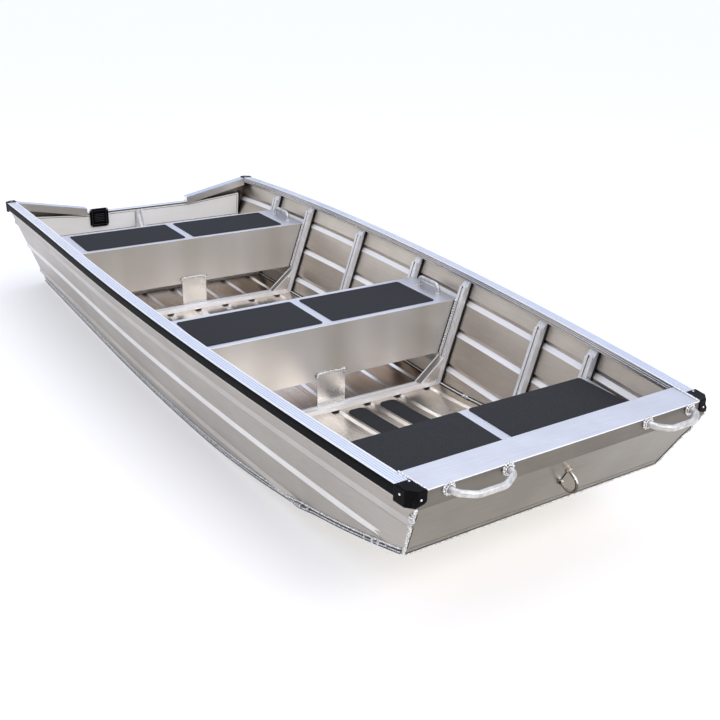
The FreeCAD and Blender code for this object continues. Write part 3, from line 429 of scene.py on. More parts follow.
def weld_alloy():
    """Fresh weld metal: paler than the sheet, with a frosted surface of about 3 mm grain."""
    material, tree, shader = new_material("fresh_weld_metal")
    fine = add_node(tree, "ShaderNodeTexNoise",
                    [("Vector", stretched(tree, (1, 1, 1))), ("Scale", 320.0), ("Detail", 3.0)])
    tone = add_node(tree, "ShaderNodeValToRGB", [("Fac", fine.outputs["Fac"])],
                    stops=((0.4, colour("#9b9892")), (0.58, colour("#fbfaf8"))))
    tree.links.new(tone.outputs["Color"], shader.inputs["Base Color"])
    relief = add_node(tree, "ShaderNodeBump",
                      [("Height", fine.outputs["Fac"]), ("Strength", 0.5), ("Distance", 0.0006)])
    tree.links.new(relief.outputs["Normal"], shader.inputs["Normal"])
    shader.inputs["Metallic"].default_value = 0.8
    shader.inputs["Roughness"].default_value = 0.36
    return material


def moulded(name, base, light, roughness, grain_scale, depth, edge=0.001, shine=0.25):
    """Moulded or rolled rubber and plastic: a fine leathery grain over one dark colour."""
    material, tree, shader = new_material(name)
    grain = add_node(tree, "ShaderNodeTexNoise",
                     [("Vector", stretched(tree, (1, 1, 1))), ("Scale", grain_scale), ("Detail", 4.0)])
    tone = add_node(tree, "ShaderNodeValToRGB", [("Fac", grain.outputs["Fac"])],
                    stops=((0.35, colour(base)), (0.7, colour(light))))
    rounded = add_node(tree, "ShaderNodeBevel", [("Radius", edge)], samples=4)
    relief = add_node(tree, "ShaderNodeBump",
                      [("Height", grain.outputs["Fac"]), ("Strength", 1.0), ("Distance", depth),
                       ("Normal", rounded.outputs[0])])
    tree.links.new(tone.outputs["Color"], shader.inputs["Base Color"])
    tree.links.new(relief.outputs["Normal"], shader.inputs["Normal"])
    shader.inputs["Roughness"].default_value = roughness
    shader.inputs["Specular IOR Level"].default_value = shine
    return material


weld_metal = weld_alloy()
# Grey rubber of the clamp pad's raised rim and grips, scuffed lighter than the pad.
grip_rubber = moulded("scuffed_grip_rubber", base="#2a2a2b", light="#3c3c3d", roughness=0.6,
                      grain_scale=300.0, depth=0.0001, shine=0.2)
# Rubber fender strip, smooth from the die.
strip_rubber = moulded("extruded_strip_rubber", base="#0b0b0b", light="#141414", roughness=0.55,
                       grain_scale=240.0, depth=0.00004, shine=0.06)
# Injection-moulded cap plastic with a soft sheen.
cap_plastic = moulded("moulded_cap_plastic", base="#020203", light="#050507", roughness=0.42,
                      grain_scale=300.0, depth=0.00005, edge=0.004, shine=0.07)
# Closed-cell foam of the anti-slip pads, with its pressed pebble grain of about 2 mm.
pad_foam = moulded("closed_cell_pad_foam", base="#2d2e30", light="#3b3c3e", roughness=0.9,
                   grain_scale=420.0, depth=0.0003, shine=0.1)

MADE_OF = (
    (floor_sheet, ("bottom_plate",)),
    (hull_sheet, ("hull_side_port", "hull_side_starboard", "transom_plate")),
    (bow_sheet, ("bow_plate",)),
    (rail_alloy, ("gunwale_port", "gunwale_starboard")),
    (strip_rubber, ("rub_strip_port", "rub_strip_starboard")),
    (cap_plastic, ("corner_cap_bow_port", "corner_cap_bow_starboard", "corner_cap_stern_port",
                   "corner_cap_stern_starboard", "motor_clamp_pad", "drain_bung")),
    (rib_alloy, ("side_ribs_port", "side_ribs_starboard", "transom_knee")),
    (cross_alloy, ("floor_ribs",)),
    (plate_alloy, ("chine_gussets", "stern_bench_bracket", "middle_bench_bracket")),
    (bench_sheet, ("stern_bench", "middle_bench", "bow_bench")),
    (pad_foam, ("stern_pad_port", "stern_pad_starboard", "middle_pad_port", "middle_pad_starboard",
                "bow_pad_port", "bow_pad_starboard", "floor_pads")),
    (deck_sheet, ("bow_deck",)),
    (box_alloy, ("transom_rail",)),
    (doubler_sheet, ("transom_doubler",)),
    (tube_alloy, ("bench_grab_handles", "bow_handles_and_eye")),
)
finish_of = {name: finish for finish, names in MADE_OF for name in names}
for name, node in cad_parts.items():
    node.data.materials.clear()
    node.data.materials.append(finish_of[name])

# Geometry Nodes trees: weld bead, round bar and set-out fasteners


def group_with(name, sockets):
    """New geometry tree with one geometry in and out and the named inputs."""
    tree = bpy.data.node_groups.new(name, "GeometryNodeTree")
    face = tree.interface
    face.new_socket("Geometry", in_out="INPUT", socket_type="NodeSocketGeometry")
    for label, kind in sockets:
        face.new_socket(label, in_out="INPUT", socket_type="NodeSocket" + kind)
    face.new_socket("Geometry", in_out="OUTPUT", socket_type="NodeSocketGeometry")
    return tree, add_node(tree, "NodeGroupInput").outputs


def close_tree(tree, geometry, given, smooth):
    """End of a tree: real geometry, smooth where asked, with its finish."""
    real = add_node(tree, "GeometryNodeRealizeInstances", [("Geometry", geometry)]).outputs[0]
    if smooth:
        real = add_node(tree, "GeometryNodeSetShadeSmooth", [("Geometry", real)]).outputs[0]
    finish = add_node(tree, "GeometryNodeSetMaterial",
                      [("Geometry", real), ("Material", given["Finish"])])
    add_node(tree, "NodeGroupOutput", [("Geometry", finish.outputs[0])])
    return tree


BEAD_STEP = 0.2
BEAD_CREST = 0.52
BEAD_GRAIN = 90.0


def bead_tree():
    """Weld bead along a seam: a rope that swells and thins once each pitch, slightly uneven."""
    tree, given = group_with("weld_bead",
                             [("Bead width", "Float"), ("Pitch", "Float"), ("Unevenness", "Float"),
                              ("Valley", "Float"), ("Seed", "Float"), ("Finish", "Material")])
    curve = add_node(tree, "GeometryNodeMeshToCurve", [("Mesh", given["Geometry"])])
    step = add_node(tree, "ShaderNodeMath", [(0, given["Pitch"]), (1, BEAD_STEP)], operation="MULTIPLY")
    fine = add_node(tree, "GeometryNodeResampleCurve",
                    [("Curve", curve.outputs[0]), ("Length", step.outputs[0])], mode="LENGTH")
    run = add_node(tree, "GeometryNodeSplineParameter")
    turns = add_node(tree, "ShaderNodeMath", [(0, run.outputs["Length"]), (1, given["Pitch"])],
                     operation="DIVIDE")
    phase = add_node(tree, "ShaderNodeMath", [(0, turns.outputs[0]), (1, math.pi)],
                     operation="MULTIPLY")
    wave = add_node(tree, "ShaderNodeMath", [(0, phase.outputs[0])], operation="SINE")
    scallop = add_node(tree, "ShaderNodeMath", [(0, wave.outputs[0])], operation="ABSOLUTE")
    place = add_node(tree, "GeometryNodeInputPosition")
    noise = add_node(tree, "ShaderNodeTexNoise",
                     [("Vector", place.outputs[0]), ("W", given["Seed"]), ("Scale", BEAD_GRAIN),
                      ("Detail", 2.0)], noise_dimensions="4D")
    body = add_node(tree, "ShaderNodeMapRange",
                    [("Value", scallop.outputs[0]), ("To Min", given["Valley"]),
                     ("To Max", BEAD_CREST)])
    swell = add_node(tree, "ShaderNodeMath", [(0, noise.outputs["Fac"]), (1, 0.5)],
                     operation="SUBTRACT")
    swell = add_node(tree, "ShaderNodeMath", [(0, swell.outputs[0]), (1, given["Unevenness"])],
                     operation="MULTIPLY")
    thick = add_node(tree, "ShaderNodeMath", [(0, swell.outputs[0]), (1, body.outputs[0])],
                     operation="ADD")
    radius = add_node(tree, "ShaderNodeMath", [(0, thick.outputs[0]), (1, given["Bead width"])],
                      operation="MULTIPLY")
    section = add_node(tree, "GeometryNodeCurvePrimitiveCircle", [("Resolution", 8), ("Radius", 1.0)])
    rope = add_node(tree, "GeometryNodeCurveToMesh",
                    [("Curve", fine.outputs[0]), ("Profile Curve", section.outputs[0]),
                     ("Scale", radius.outputs[0]), ("Fill Caps", True)])
    centred = add_node(tree, "ShaderNodeVectorMath",
                       [(0, noise.outputs["Color"]), (1, (0.5, 0.5, 0.5))], operation="SUBTRACT")
    reach = add_node(tree, "ShaderNodeMath", [(0, given["Bead width"]), (1, given["Unevenness"])],
                     operation="MULTIPLY")
    shove = add_node(tree, "ShaderNodeVectorMath",
                     [(0, centred.outputs[0]), ("Scale", reach.outputs[0])], operation="SCALE")
    moved = add_node(tree, "GeometryNodeSetPosition",
                     [("Geometry", rope.outputs[0]), ("Offset", shove.outputs[0])])
    return close_tree(tree, moved.outputs[0], given, smooth=True)


def bar_tree():
    """Round bar along a path."""
    tree, given = group_with("round_bar",
                             [("Bar radius", "Float"), ("Sides", "Int"), ("Finish", "Material")])
    curve = add_node(tree, "GeometryNodeMeshToCurve", [("Mesh", given["Geometry"])])
    section = add_node(tree, "GeometryNodeCurvePrimitiveCircle",
                       [("Resolution", given["Sides"]), ("Radius", 1.0)])
    bar = add_node(tree, "GeometryNodeCurveToMesh",
                   [("Curve", curve.outputs[0]), ("Profile Curve", section.outputs[0]),
                    ("Scale", given["Bar radius"]), ("Fill Caps", True)])
    return close_tree(tree, bar.outputs[0], given, smooth=True)


def fastener_tree():
    """One turned head on each point, facing along the point's own direction and turned at random."""
    tree, given = group_with("set_out_fasteners",
                             [("Head", "Object"), ("Seed", "Int"), ("Finish", "Material")])
    facing = add_node(tree, "GeometryNodeInputNamedAttribute", [("Name", "facing")],
                      data_type="FLOAT_VECTOR")
    upright = add_node(tree, "FunctionNodeAlignRotationToVector", [("Vector", facing.outputs[0])],
                       axis="Z")
    head = add_node(tree, "GeometryNodeObjectInfo", [("Object", given["Head"])])
    placed = add_node(tree, "GeometryNodeInstanceOnPoints",
                      [("Points", given["Geometry"]), ("Instance", head.outputs["Geometry"]),
                       ("Rotation", upright.outputs[0])])
    turn = add_node(tree, "FunctionNodeRandomValue",
                    [(0, (0, 0, 0)), (1, (0, 0, math.pi)), ("Seed", given["Seed"])],
                    data_type="FLOAT_VECTOR")
    turned = add_node(tree, "GeometryNodeRotateInstances",
                      [("Instances", placed.outputs[0]), ("Rotation", turn.outputs[0])])
    return close_tree(tree, turned.outputs[0], given, smooth=False)


def baked(name, source, tree, inputs):
    """Run a Geometry Nodes tree on a source object and return the result as a plain mesh object."""
    modifier = source.modifiers.new("build", "NODES")
    modifier.node_group = tree
    keys = {item.name: item.identifier for item in tree.interface.items_tree if item.in_out == "INPUT"}
    for label, value in inputs.items():
        modifier[keys[label]] = value
    bpy.context.view_layer.update()
    mesh = bpy.data.meshes.new_from_object(source.evaluated_get(bpy.context.evaluated_depsgraph_get()))
    piece = bpy.data.objects.new(name, mesh)
    bpy.context.scene.collection.objects.link(piece)
    bpy.data.objects.remove(source)
    return piece


def linked(name, mesh):
    """New object for a mesh, linked to the scene."""
    item = bpy.data.objects.new(name, mesh)
    bpy.context.scene.collection.objects.link(item)
    return item


def path_object(name, paths, closed=False):
    """Mesh object of edge chains, open or closed."""
    mesh = bpy.data.meshes.new(name)
    points, edges = [], []
    for path in paths:
        start = len(points)
        points += [tuple(p) for p in path]
        edges += [(start + i, start + i + 1) for i in range(len(path) - 1)]
        if closed:
            edges.append((len(points) - 1, start))
    mesh.from_pydata(points, edges, [])
    return linked(name, mesh)


def both_sides(paths):
    """The paths of the port side and their mirror on the starboard side."""
    return paths + [[(x, -y, z) for x, y, z in path] for path in paths]


def blend_points(start, end, count):
    return [tuple(a + (b - a) * i / count for a, b in zip(start, end)) for i in range(count + 1)]


def ring_points(centre, facing, radius, count=28):
    """Circle of points square to a direction."""
    turn = Vector(facing).to_track_quat("Z", "Y")
    angles = evenly(0.0, 2 * math.pi, count)[:-1]
    return [tuple(Vector(centre) + turn @ Vector((radius * math.cos(a), radius * math.sin(a), 0)))
            for a in angles]


def bent_path(corners, radii, steps=10):
    """Straight runs joined by arcs, as points along a bar's centre line."""
    corners = [Vector(c) for c in corners]
    points = [corners[0]]
    for before, corner, after, radius in zip(corners, corners[1:], corners[2:], radii):
        towards = (before - corner).normalized()
        away = (after - corner).normalized()
        turn = math.pi - towards.angle(away)
        bisector = (towards + away).normalized()
        centre = corner + bisector * (radius / math.cos(turn / 2))
        first = corner + towards * radius * math.tan(turn / 2) - centre
        last = corner + away * radius * math.tan(turn / 2) - centre
        for i in range(steps + 1):
            share = i / steps
            part = first * math.sin((1 - share) * turn) + last * math.sin(share * turn)
            points.append(centre + part / math.sin(turn))
    return points + [corners[-1]]


def turned_head(name, rings, sides):
    """Turned or hexagonal part about +Z from (radius, height) rings; the last ring is closed flat."""
    angles = evenly(0.0, 2 * math.pi, sides)[:-1]
    points = [(r * math.cos(a), r * math.sin(a), h) for r, h in rings for a in angles]
    faces = [tuple(reversed(range(sides)))]
    for ring in range(len(rings) - 1):
        low = ring * sides
        faces += [(low + i, low + (i + 1) % sides, low + sides + (i + 1) % sides, low + sides + i)
                  for i in range(sides)]
    faces.append(tuple(range((len(rings) - 1) * sides, len(rings) * sides)))
    mesh = bpy.data.meshes.new(name)
    mesh.from_pydata(points, [], faces)
    return linked(name, mesh)


weld_tree = bead_tree()
round_bar_tree = bar_tree()
fasten_tree = fastener_tree()


def weld(name, paths, width, pitch, seed, closed=False, uneven=0.25,
         valley=0.34):
    """Bead of a width and a pitch between its scallops; valley is how thin it gets between them."""
    piece = baked(name, path_object(name + "_seams", paths, closed), weld_tree,
                  {"Bead width": width, "Pitch": pitch, "Unevenness": uneven, "Valley": valley,
                   "Seed": float(seed), "Finish": weld_metal})
    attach(piece, BODY)
    return piece


def bar(name, paths, radius, finish, slot, sides=20):
    """Round bar, or a line of worn metal or shade, along each path."""
    piece = baked(name, path_object(name + "_lines", paths), round_bar_tree,
                  {"Bar radius": radius, "Sides": sides, "Finish": finish})
    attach(piece, BODY)
    return piece


def shade_line(name, paths, radius, slot="hull_aluminium", sides=6):
    """Painted shade: a dull dark line beside a seam or in a narrow gap."""
    return bar(name, paths, radius=radius, finish=shade_line_finish, slot=slot, sides=sides)


def highlight_line(name, paths, radius, slot="hull_aluminium", sides=8):
    """Painted highlight along an edge, a fold or a ridge."""
    return bar(name, paths, radius=radius, finish=bright_edge, slot=slot, sides=sides)


def fasteners(name, places, rings, sides, finish, seed):
    """Turned or hexagonal heads at (point, direction) places."""
    points = path_object(name + "_points", [[place for place, facing in places]])
    attribute = points.data.attributes.new("facing", "FLOAT_VECTOR", "POINT")
    attribute.data.foreach_set("vector", [value for place, facing in places for value in facing])
    head = turned_head(name + "_head", rings, sides)
    piece = baked(name, points, fasten_tree, {"Head": head, "Seed": seed, "Finish": finish})
    bpy.data.objects.remove(head)
    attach(piece, BODY)
    return piece


# Welds of the shell

BOW_SLOPE = BOW_RAKE / (SHEER_BOW - BOW_LIP - BOW_FOOT[1])
bow_fold = SHEER_BOW - BOW_LIP


def bow_station(height):
    """Station of the raked bow plate's outer face at a height."""
    return HULL_LENGTH - BOW_SLOPE * (bow_fold - height)


corner_seam = [(along(bow_station(z)) - 0.001, skin_half(bow_station(z), z), z)
               for z in evenly(bow_fold + 0.005, BOW_FOOT[1] - 0.002, 40)]
weld("bow_corner_weld", both_sides([corner_seam]), width=0.0105, pitch=0.0065, seed=5, uneven=0.6,
     valley=0.26)
# Lumps where the hand weld was restarted, and painted shade beside the seam on the plate.
LUMPS = ((0.430, 0.003), (0.417, 0.009), (0.400, 0.003), (0.262, 0.0))
LUMP_LENGTH = 0.010
lumps = []
for high, shift in LUMPS:
    ends = ((high, 0.001), (high - LUMP_LENGTH, 0.002))
    lumps.append([(along(bow_station(z)) - shift, -skin_half(bow_station(z), z) - proud, z) for z,
                  proud in ends])
weld("bow_corner_lumps", lumps, width=0.0155, pitch=0.010, seed=6, uneven=0.8)
corner_shade_path = [(x + 0.0018, y - 0.0085, z) for x, y, z in corner_seam[4:]]
shade_line("bow_corner_soot", both_sides([corner_shade_path]), radius=0.0009)


def plate_point(height, across, proud):
    """Point on the bow plate's outer face, lifted off it."""
    return (along(bow_station(height)) + proud, across, height)


FOOT_LINE = 0.026
foot_low = BOW_FOOT[1] - GROOVE
foot_half = skin_half(BOW_FOOT[0], BOW_FOOT[1])
foot_seam = blend_points(plate_point(foot_low, -foot_half, 0.001),
                         plate_point(foot_low, foot_half, 0.001), 40)
weld("bow_foot_weld", [foot_seam], width=0.0065, pitch=0.005, seed=8, uneven=0.4)
# Painted shade above the foot weld.
shade_line("bow_foot_soot",
     [[plate_point(foot_low + 0.0055, y, 0.0002) for y in (-foot_half + 0.01, 0, foot_half - 0.01)]],
     radius=0.0009)
fold_half = foot_half - 0.012
# Painted shade along the crease above the bow plate's foot.
bar("bow_plate_crease",
    [[plate_point(foot_low + FOOT_LINE, y, -0.0002) for y in (-fold_half, 0, fold_half)]],
    radius=0.0010, finish=crease_shade, slot="hull_aluminium", sides=8)
SPECKS = (-0.375, -0.28, -0.262, -0.13, 0.02, 0.035, 0.21, 0.34, 0.352, 0.43)
specks = [(plate_point(foot_low + FOOT_LINE - 0.006, y, 0.0), (1, 0, -BOW_SLOPE)) for y in SPECKS]


def chine_seam(first, last, count, inset, lift=0.001):
    """Line along the chine, at a height over the bottom plate and set in from the side's outer face."""
    return [(along(s), skin_half(s, keel(s) + PLATE + lift) - inset, keel(s) + PLATE + lift)
            for s in evenly(first, last, count)]


FLANGE = 0.017
chine_end = BOW_FOOT[0] - 0.006
weld("chine_weld_outside",
     both_sides([chine_seam(0.01, chine_end + 0.004, 90, inset=-0.001, lift=FLANGE)]), width=0.0085,
     pitch=0.006, seed=3, uneven=0.35)
# Painted shade between the chine welds.
shade_line("chine_soot_outside",
     both_sides([chine_seam(0.01, chine_end, 90, inset=-0.0012, lift=FLANGE - 0.006)]), radius=0.0012)
weld("chine_weld_below", both_sides([chine_seam(0.01, chine_end, 90, inset=-0.003, lift=0.002)]),
     width=0.0075, pitch=0.006, seed=4, uneven=0.35)
# Painted shade along the chine's lap.
shade_line("chine_lap_soot", both_sides([chine_seam(0.01, chine_end, 90, inset=-0.0085, lift=0.0002)]),
     radius=0.0009)
lip = chine_seam(0.004, chine_end, 90, inset=-CHINE_LAP + 0.001, lift=-0.0015)
# Painted highlight along the chine's lap.
highlight_line("chine_lap_edge", both_sides([lip]), radius=0.0019)
SPATTER = (2.94, 2.99, 3.03, 3.36, 3.40, 3.43, 3.47)
spatter = [chine_seam(s, s + 0.012, 2, inset=-0.003, lift=0.006) for s in SPATTER]
weld("chine_spatter", both_sides(spatter), width=0.014, pitch=0.008, seed=9, uneven=0.9)
rod = chine_seam(0.03, BOW_FOOT[0] - 0.03, 90, inset=PLATE + 0.006, lift=0.005)
bar("inner_chine_rod", both_sides([rod]), radius=0.0034, finish=rib_alloy, slot="hull_aluminium",
    sides=10)
# Painted shade below and above the inner chine rod.
shade_line("inner_chine_soot", both_sides([[(x, y - 0.0055, z - 0.004) for x, y, z in rod]]), radius=0.0018)
shade_line("inner_chine_shade", both_sides([[(x, y + 0.0035, z + 0.0045) for x, y, z in rod]]), radius=0.0012)
weld("inner_chine_blobs", both_sides([rod[i:i + 2] for i in (63, 70, 77)]), width=0.016, pitch=0.01,
     seed=10, uneven=0.8)

# Deck ends, bow cap flaps, lines of the gunwales and screws of the caps

deck_edge = [(along(s), half_beam(s) - GUNWALE_WIDTH - 0.001, sheer(s) + 0.0005)
             for s in evenly(HULL_LENGTH - DECK_DEPTH, HULL_LENGTH, 12)]
weld("deck_end_welds", both_sides([deck_edge]), width=0.0085, pitch=0.007, seed=12, uneven=0.35)
# Painted highlights along the deck's end welds and front fold.
highlight_line("deck_end_bright", both_sides([[(x, y - 0.002, z + 0.0012) for x, y, z in deck_edge]]),
          radius=0.0022, sides=6)
front_half = half_beam(HULL_LENGTH) - GUNWALE_WIDTH
front_edge = blend_points((along(HULL_LENGTH) - 0.0012, -front_half, SHEER_BOW - 0.0012),
                          (along(HULL_LENGTH) - 0.0012, front_half, SHEER_BOW - 0.0012), 4)
highlight_line("deck_front_edge", [front_edge], radius=0.0018)


def cap_flap(name, side):
    """Front flap of a bow cap, down over the end of the side plate, with a slanting lower edge."""
    front = along(HULL_LENGTH) + 0.0032
    back = along(HULL_LENGTH) + 0.0002
    outer = half_beam(HULL_LENGTH)
    swell = SHEER_BOW - GUNWALE_DEPTH
    high = SHEER_BOW - 0.016
    # Each point of the plan has its own drop; at the top the outer ones tuck under the cap's chamfer.
    plan = [(back, outer - 0.047, 0.034), (front, outer - 0.047, 0.034), (front, outer - 0.040, 0.039),
            (front, outer - 0.0195, 0.044), (front - 0.0012, outer - 0.0080, 0.046),
            (back - 0.0092, outer - 0.0060, 0.046), (back - 0.0092, outer - 0.016, 0.046)]
    tucked = {4: (back - 0.0082, outer - 0.0086), 5: (back - 0.0096, outer - 0.0074),
              6: (back - 0.0096, outer - 0.016)}
    count = len(plan)
    rings = [[(x, y, SHEER_BOW - drop) for x, y, drop in plan], [(x, y, swell) for x, y, drop in plan],
             [tucked.get(i, plan[i][:2]) + (high,) for i in range(count)]]
    points = [(x, side * y, z) for ring in rings for x, y, z in ring]
    faces = [tuple(reversed(range(count))), tuple(range(2 * count, 3 * count))]
    for low in (0, count):
        faces += [(low + i, low + (i + 1) % count, low + (i + 1) % count + count, low + i + count)
                  for i in range(count)]
    mesh = bpy.data.meshes.new(name)
    mesh.from_pydata(points, [], faces)
    if side < 0:
        mesh.flip_normals()
    mesh.materials.append(cap_plastic)
    piece = linked(name, mesh)
    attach(piece, BODY)


cap_flap("bow_cap_flap_port", 1)
cap_flap("bow_cap_flap_starboard", -1)


def rail_line(inset, drop, first=0.046, last=HULL_LENGTH - 0.07, count=60):
    """Line along the gunwale, set in from its outer edge and dropped below its top."""
    return [(along(s), half_beam(s) - inset, sheer(s) - drop) for s in evenly(first, last, count)]


# Painted shade of die lines on the rail's top and inner face, with painted highlights on its ridges and
# edges.
top_lines = [rail_line(inset, drop=0.0003) for inset in (0.011, 0.020, 0.029, 0.038)]
face_lines = [rail_line(GUNWALE_WIDTH - 0.0004, drop=drop) for drop in (0.007, 0.014, 0.022)]
bar("gunwale_top_lines", both_sides(top_lines), radius=0.0009, finish=die_line, slot="rail_aluminium",
    sides=6)
bar("gunwale_face_shades", both_sides(face_lines), radius=0.0014, finish=crease_shade,
    slot="rail_aluminium", sides=6)
ridge_highlights = [rail_line(GUNWALE_WIDTH - 0.0004, drop=drop) for drop in (0.0105, 0.018)]
highlight_line("gunwale_face_ridges", both_sides(ridge_highlights), radius=0.0015, slot="rail_aluminium",
          sides=6)
highlight_line("gunwale_inner_bead", both_sides([rail_line(GUNWALE_WIDTH - 0.0015, drop=0.0012)]),
          radius=0.0020, slot="rail_aluminium")
highlight_line("strip_top_bead", both_sides([rail_line(0.0008, drop=0.0012)]), radius=0.0014,
          slot="rail_aluminium", sides=6)

PAN_HEAD = ((0.0036, -0.001), (0.0038, 0.0004), (0.0034, 0.0014), (0.0022, 0.0021), (0.0008, 0.0024))
BOW_SCREW = 3.6025
STERN_SCREW = 0.026
CAP_THICK = 0.003
bow_cap_top = sheer(BOW_SCREW) + CAP_THICK
stern_cap_top = sheer(STERN_SCREW) + CAP_THICK
screws = [
    ((along(BOW_SCREW), -0.566, bow_cap_top), (0, 0, 1)),
    ((along(BOW_SCREW), 0.585, bow_cap_top), (0, 0, 1)),
    ((along(3.617), -0.6064, 0.4826), (0.12, -1, 0)),
    ((along(3.617), 0.6064, 0.4826), (0.12, 1, 0)),
    ((along(3.663), -0.5673, 0.4760), (1, 0, 0)),
    ((along(3.663), 0.5673, 0.4760), (1, 0, 0)),
    ((along(STERN_SCREW), -0.715, stern_cap_top), (0, 0, 1)),
    ((along(STERN_SCREW), 0.715, stern_cap_top), (0, 0, 1)),
]
fasteners("cap_screws", screws, rings=PAN_HEAD, sides=14, finish=screw_steel,
          seed=4)
fasteners("bow_foot_specks", specks, rings=((0.0018, -0.0006), (0.0016, 0.0006), (0.0008, 0.001)),
          sides=8, finish=screw_steel, seed=5)

# Welds of ribs, benches and brackets

RIB_GROOVE = 0.005
CROWN_ARCH = ((-0.0085, 0.002, -0.012), (-0.0075, 0.003, 0.0), (0.0, 0.0055, 0.006),
              (0.0075, 0.003, 0.0), (0.0085, 0.002, -0.012))
rib_tops, rib_gaps, rib_grooves, rib_arches = [], [], [], []
for station in RIB_STATIONS:
    top = sheer(station) - GUNWALE_DEPTH - 0.003
    low = keel(station) + PLATE + 0.002
    inner = side_half(station, top) - PLATE
    rib_tops.append([(along(station + x), inner - RIB_DEPTH * 0.35, top - 0.001)
                     for x in (-RIB_HALF, 0, RIB_HALF)])
    rib_gaps.append([(along(station + RIB_HALF - 0.001), side_half(station, z) - PLATE - 0.0055, z)
                     for z in evenly(top, low, 12)])
    crown = top - RIB_DEPTH * 0.75
    for shift in (-RIB_GROOVE, RIB_GROOVE):
        rib_grooves.append([(along(station + shift * 0.85), rib_inboard(station, z) + 0.0025, z)
                            for z in evenly(crown, low + 0.02, 12)])
    face = rib_inboard(station, crown) - 0.0005
    rib_arches.append([(along(station + x), face + y, crown + z) for x, y, z in CROWN_ARCH])
weld("rib_top_welds", both_sides(rib_tops), width=0.009, pitch=0.006, seed=11)
shade_line("rib_gap_shade", both_sides(rib_gaps), radius=0.0050, slot="rib_aluminium")
bar("rib_groove_shade", both_sides(rib_grooves), radius=0.0014, finish=crease_shade,
    slot="rib_aluminium", sides=6)
# Painted highlights arching over the rib crowns.
highlight_line("rib_crown_arches", both_sides(rib_arches), radius=0.0024, slot="rib_aluminium")
bench_ends = []
for station, turn in ((RIB_STATIONS[1], -1), (RIB_STATIONS[4], -1), (RIB_STATIONS[0], 1),
                      (RIB_STATIONS[3], 1)):
    x = along(station + turn * RIB_HALF) - turn * 0.003
    bench_ends.append([(x, rib_inboard(station, z) - 0.0005, z)
                       for z in evenly(BENCH_TOP, BENCH_TOP - BENCH_DROP, 20)])
weld("bench_end_welds", both_sides(bench_ends), width=0.0135, pitch=0.0115, seed=13,
     uneven=0.3, valley=0.2)
# Painted shade beside the bench-end welds.
shade_line("bench_end_soot",
     both_sides([[(x - 0.001, y - 0.0075, z) for x, y, z in path] for path in bench_ends]),
     radius=0.0012, slot="bench_aluminium")

GUSSET_REACH = 0.090
GUSSET_RISE = 0.105
gusset_edges = []
for station in (RIB_STATIONS[1], RIB_STATIONS[4]):
    low = keel(station) + PLATE + FLOOR_RIB
    high = low + GUSSET_RISE
    for x in (station - RIB_HALF, station + RIB_HALF):
        gusset_edges.append([(along(x), rib_inboard(station, low) - GUSSET_REACH, low + 0.0005),
                             (along(x), rib_inboard(station, high), high)])
# Painted highlights along the gussets' edges.
highlight_line("gusset_edges", both_sides(gusset_edges), radius=0.0022, slot="rib_aluminium")

BRACKET_HALF = 0.068
BRACKET_TOP = BENCH_TOP - BENCH_DROP + 0.028
bracket_heads, bracket_feet = [], []
for station in (RIB_STATIONS[1], RIB_STATIONS[4]):
    x = along(station - RIB_HALF) + 0.0035
    shoulder = [(-BRACKET_HALF - 0.001, BRACKET_TOP - 0.016), (-BRACKET_HALF, BRACKET_TOP - 0.004),
                (-BRACKET_HALF + 0.006, BRACKET_TOP + 0.001)]
    outline = shoulder + [(0, BRACKET_TOP + 0.002)] + [(-y, z) for y, z in reversed(shoulder)]
    bracket_heads.append([(x, y, z) for y, z in outline])
    foot = keel(station) + PLATE + FLOOR_RIB + 0.001
    bracket_feet.append([(x + 0.003, -BRACKET_HALF, foot), (x + 0.003, BRACKET_HALF, foot)])
weld("bracket_head_welds", bracket_heads, width=0.014, pitch=0.010, seed=17,
     uneven=0.6)
weld("bracket_foot_welds", bracket_feet, width=0.008, pitch=0.007, seed=19,
     uneven=0.4)
# Painted shade beside the bracket-head welds.
shade_line("bracket_soot", [[(x - 0.001, y * 1.09, z + 0.004) for x, y, z in path] for path in bracket_heads],
     radius=0.0013, slot="rib_aluminium")

# Transom doubler and clamp pad

STITCH_PITCH = 0.105
STITCH_LENGTH = 0.055
FIRST_STITCH = -0.60
stitch_x, stitch_z = along(0.0345), 0.2625
stitches = []
for number in range(12):
    start = FIRST_STITCH + STITCH_PITCH * number
    stitches.append([(stitch_x, start, stitch_z), (stitch_x, start + STITCH_LENGTH, stitch_z)])
weld("doubler_stitches", stitches, width=0.008, pitch=0.006, seed=23, uneven=0.4)

DOUBLER_THICK = 0.033
DOUBLER_FACE = DOUBLER_THICK + 0.0002
CELL_EDGE = 0.019
CELL = ((CELL_EDGE, 0.268), (0.640, 0.268), (0.647, 0.391), (0.306, 0.363), (CELL_EDGE, 0.363),
        (CELL_EDGE, 0.268))
cell = [(along(DOUBLER_FACE), y, z) for y, z in CELL]
shade_line("doubler_fold_shade", both_sides([cell]), radius=0.0013, slot="rib_aluminium")
# Painted shade in the gap between the doubler's end and the side.
shade_line("doubler_end_soot", both_sides([[(along(0.016), 0.656, 0.296), (along(0.016), 0.676, 0.405)]]),
     radius=0.0065, sides=8)
# Painted highlights along the cut-out's cap and the doubler's ends.
cap_top = [(along(DOUBLER_FACE + 0.0002), y, 0.3812) for y in (-0.305, 0.0, 0.305)]
end_edge = [(along(DOUBLER_FACE), 0.6475, 0.263), (along(DOUBLER_FACE), 0.6555, 0.398)]
highlight_line("transom_bright_edges", [cap_top] + both_sides([end_edge]), radius=0.0022,
          slot="rib_aluminium")

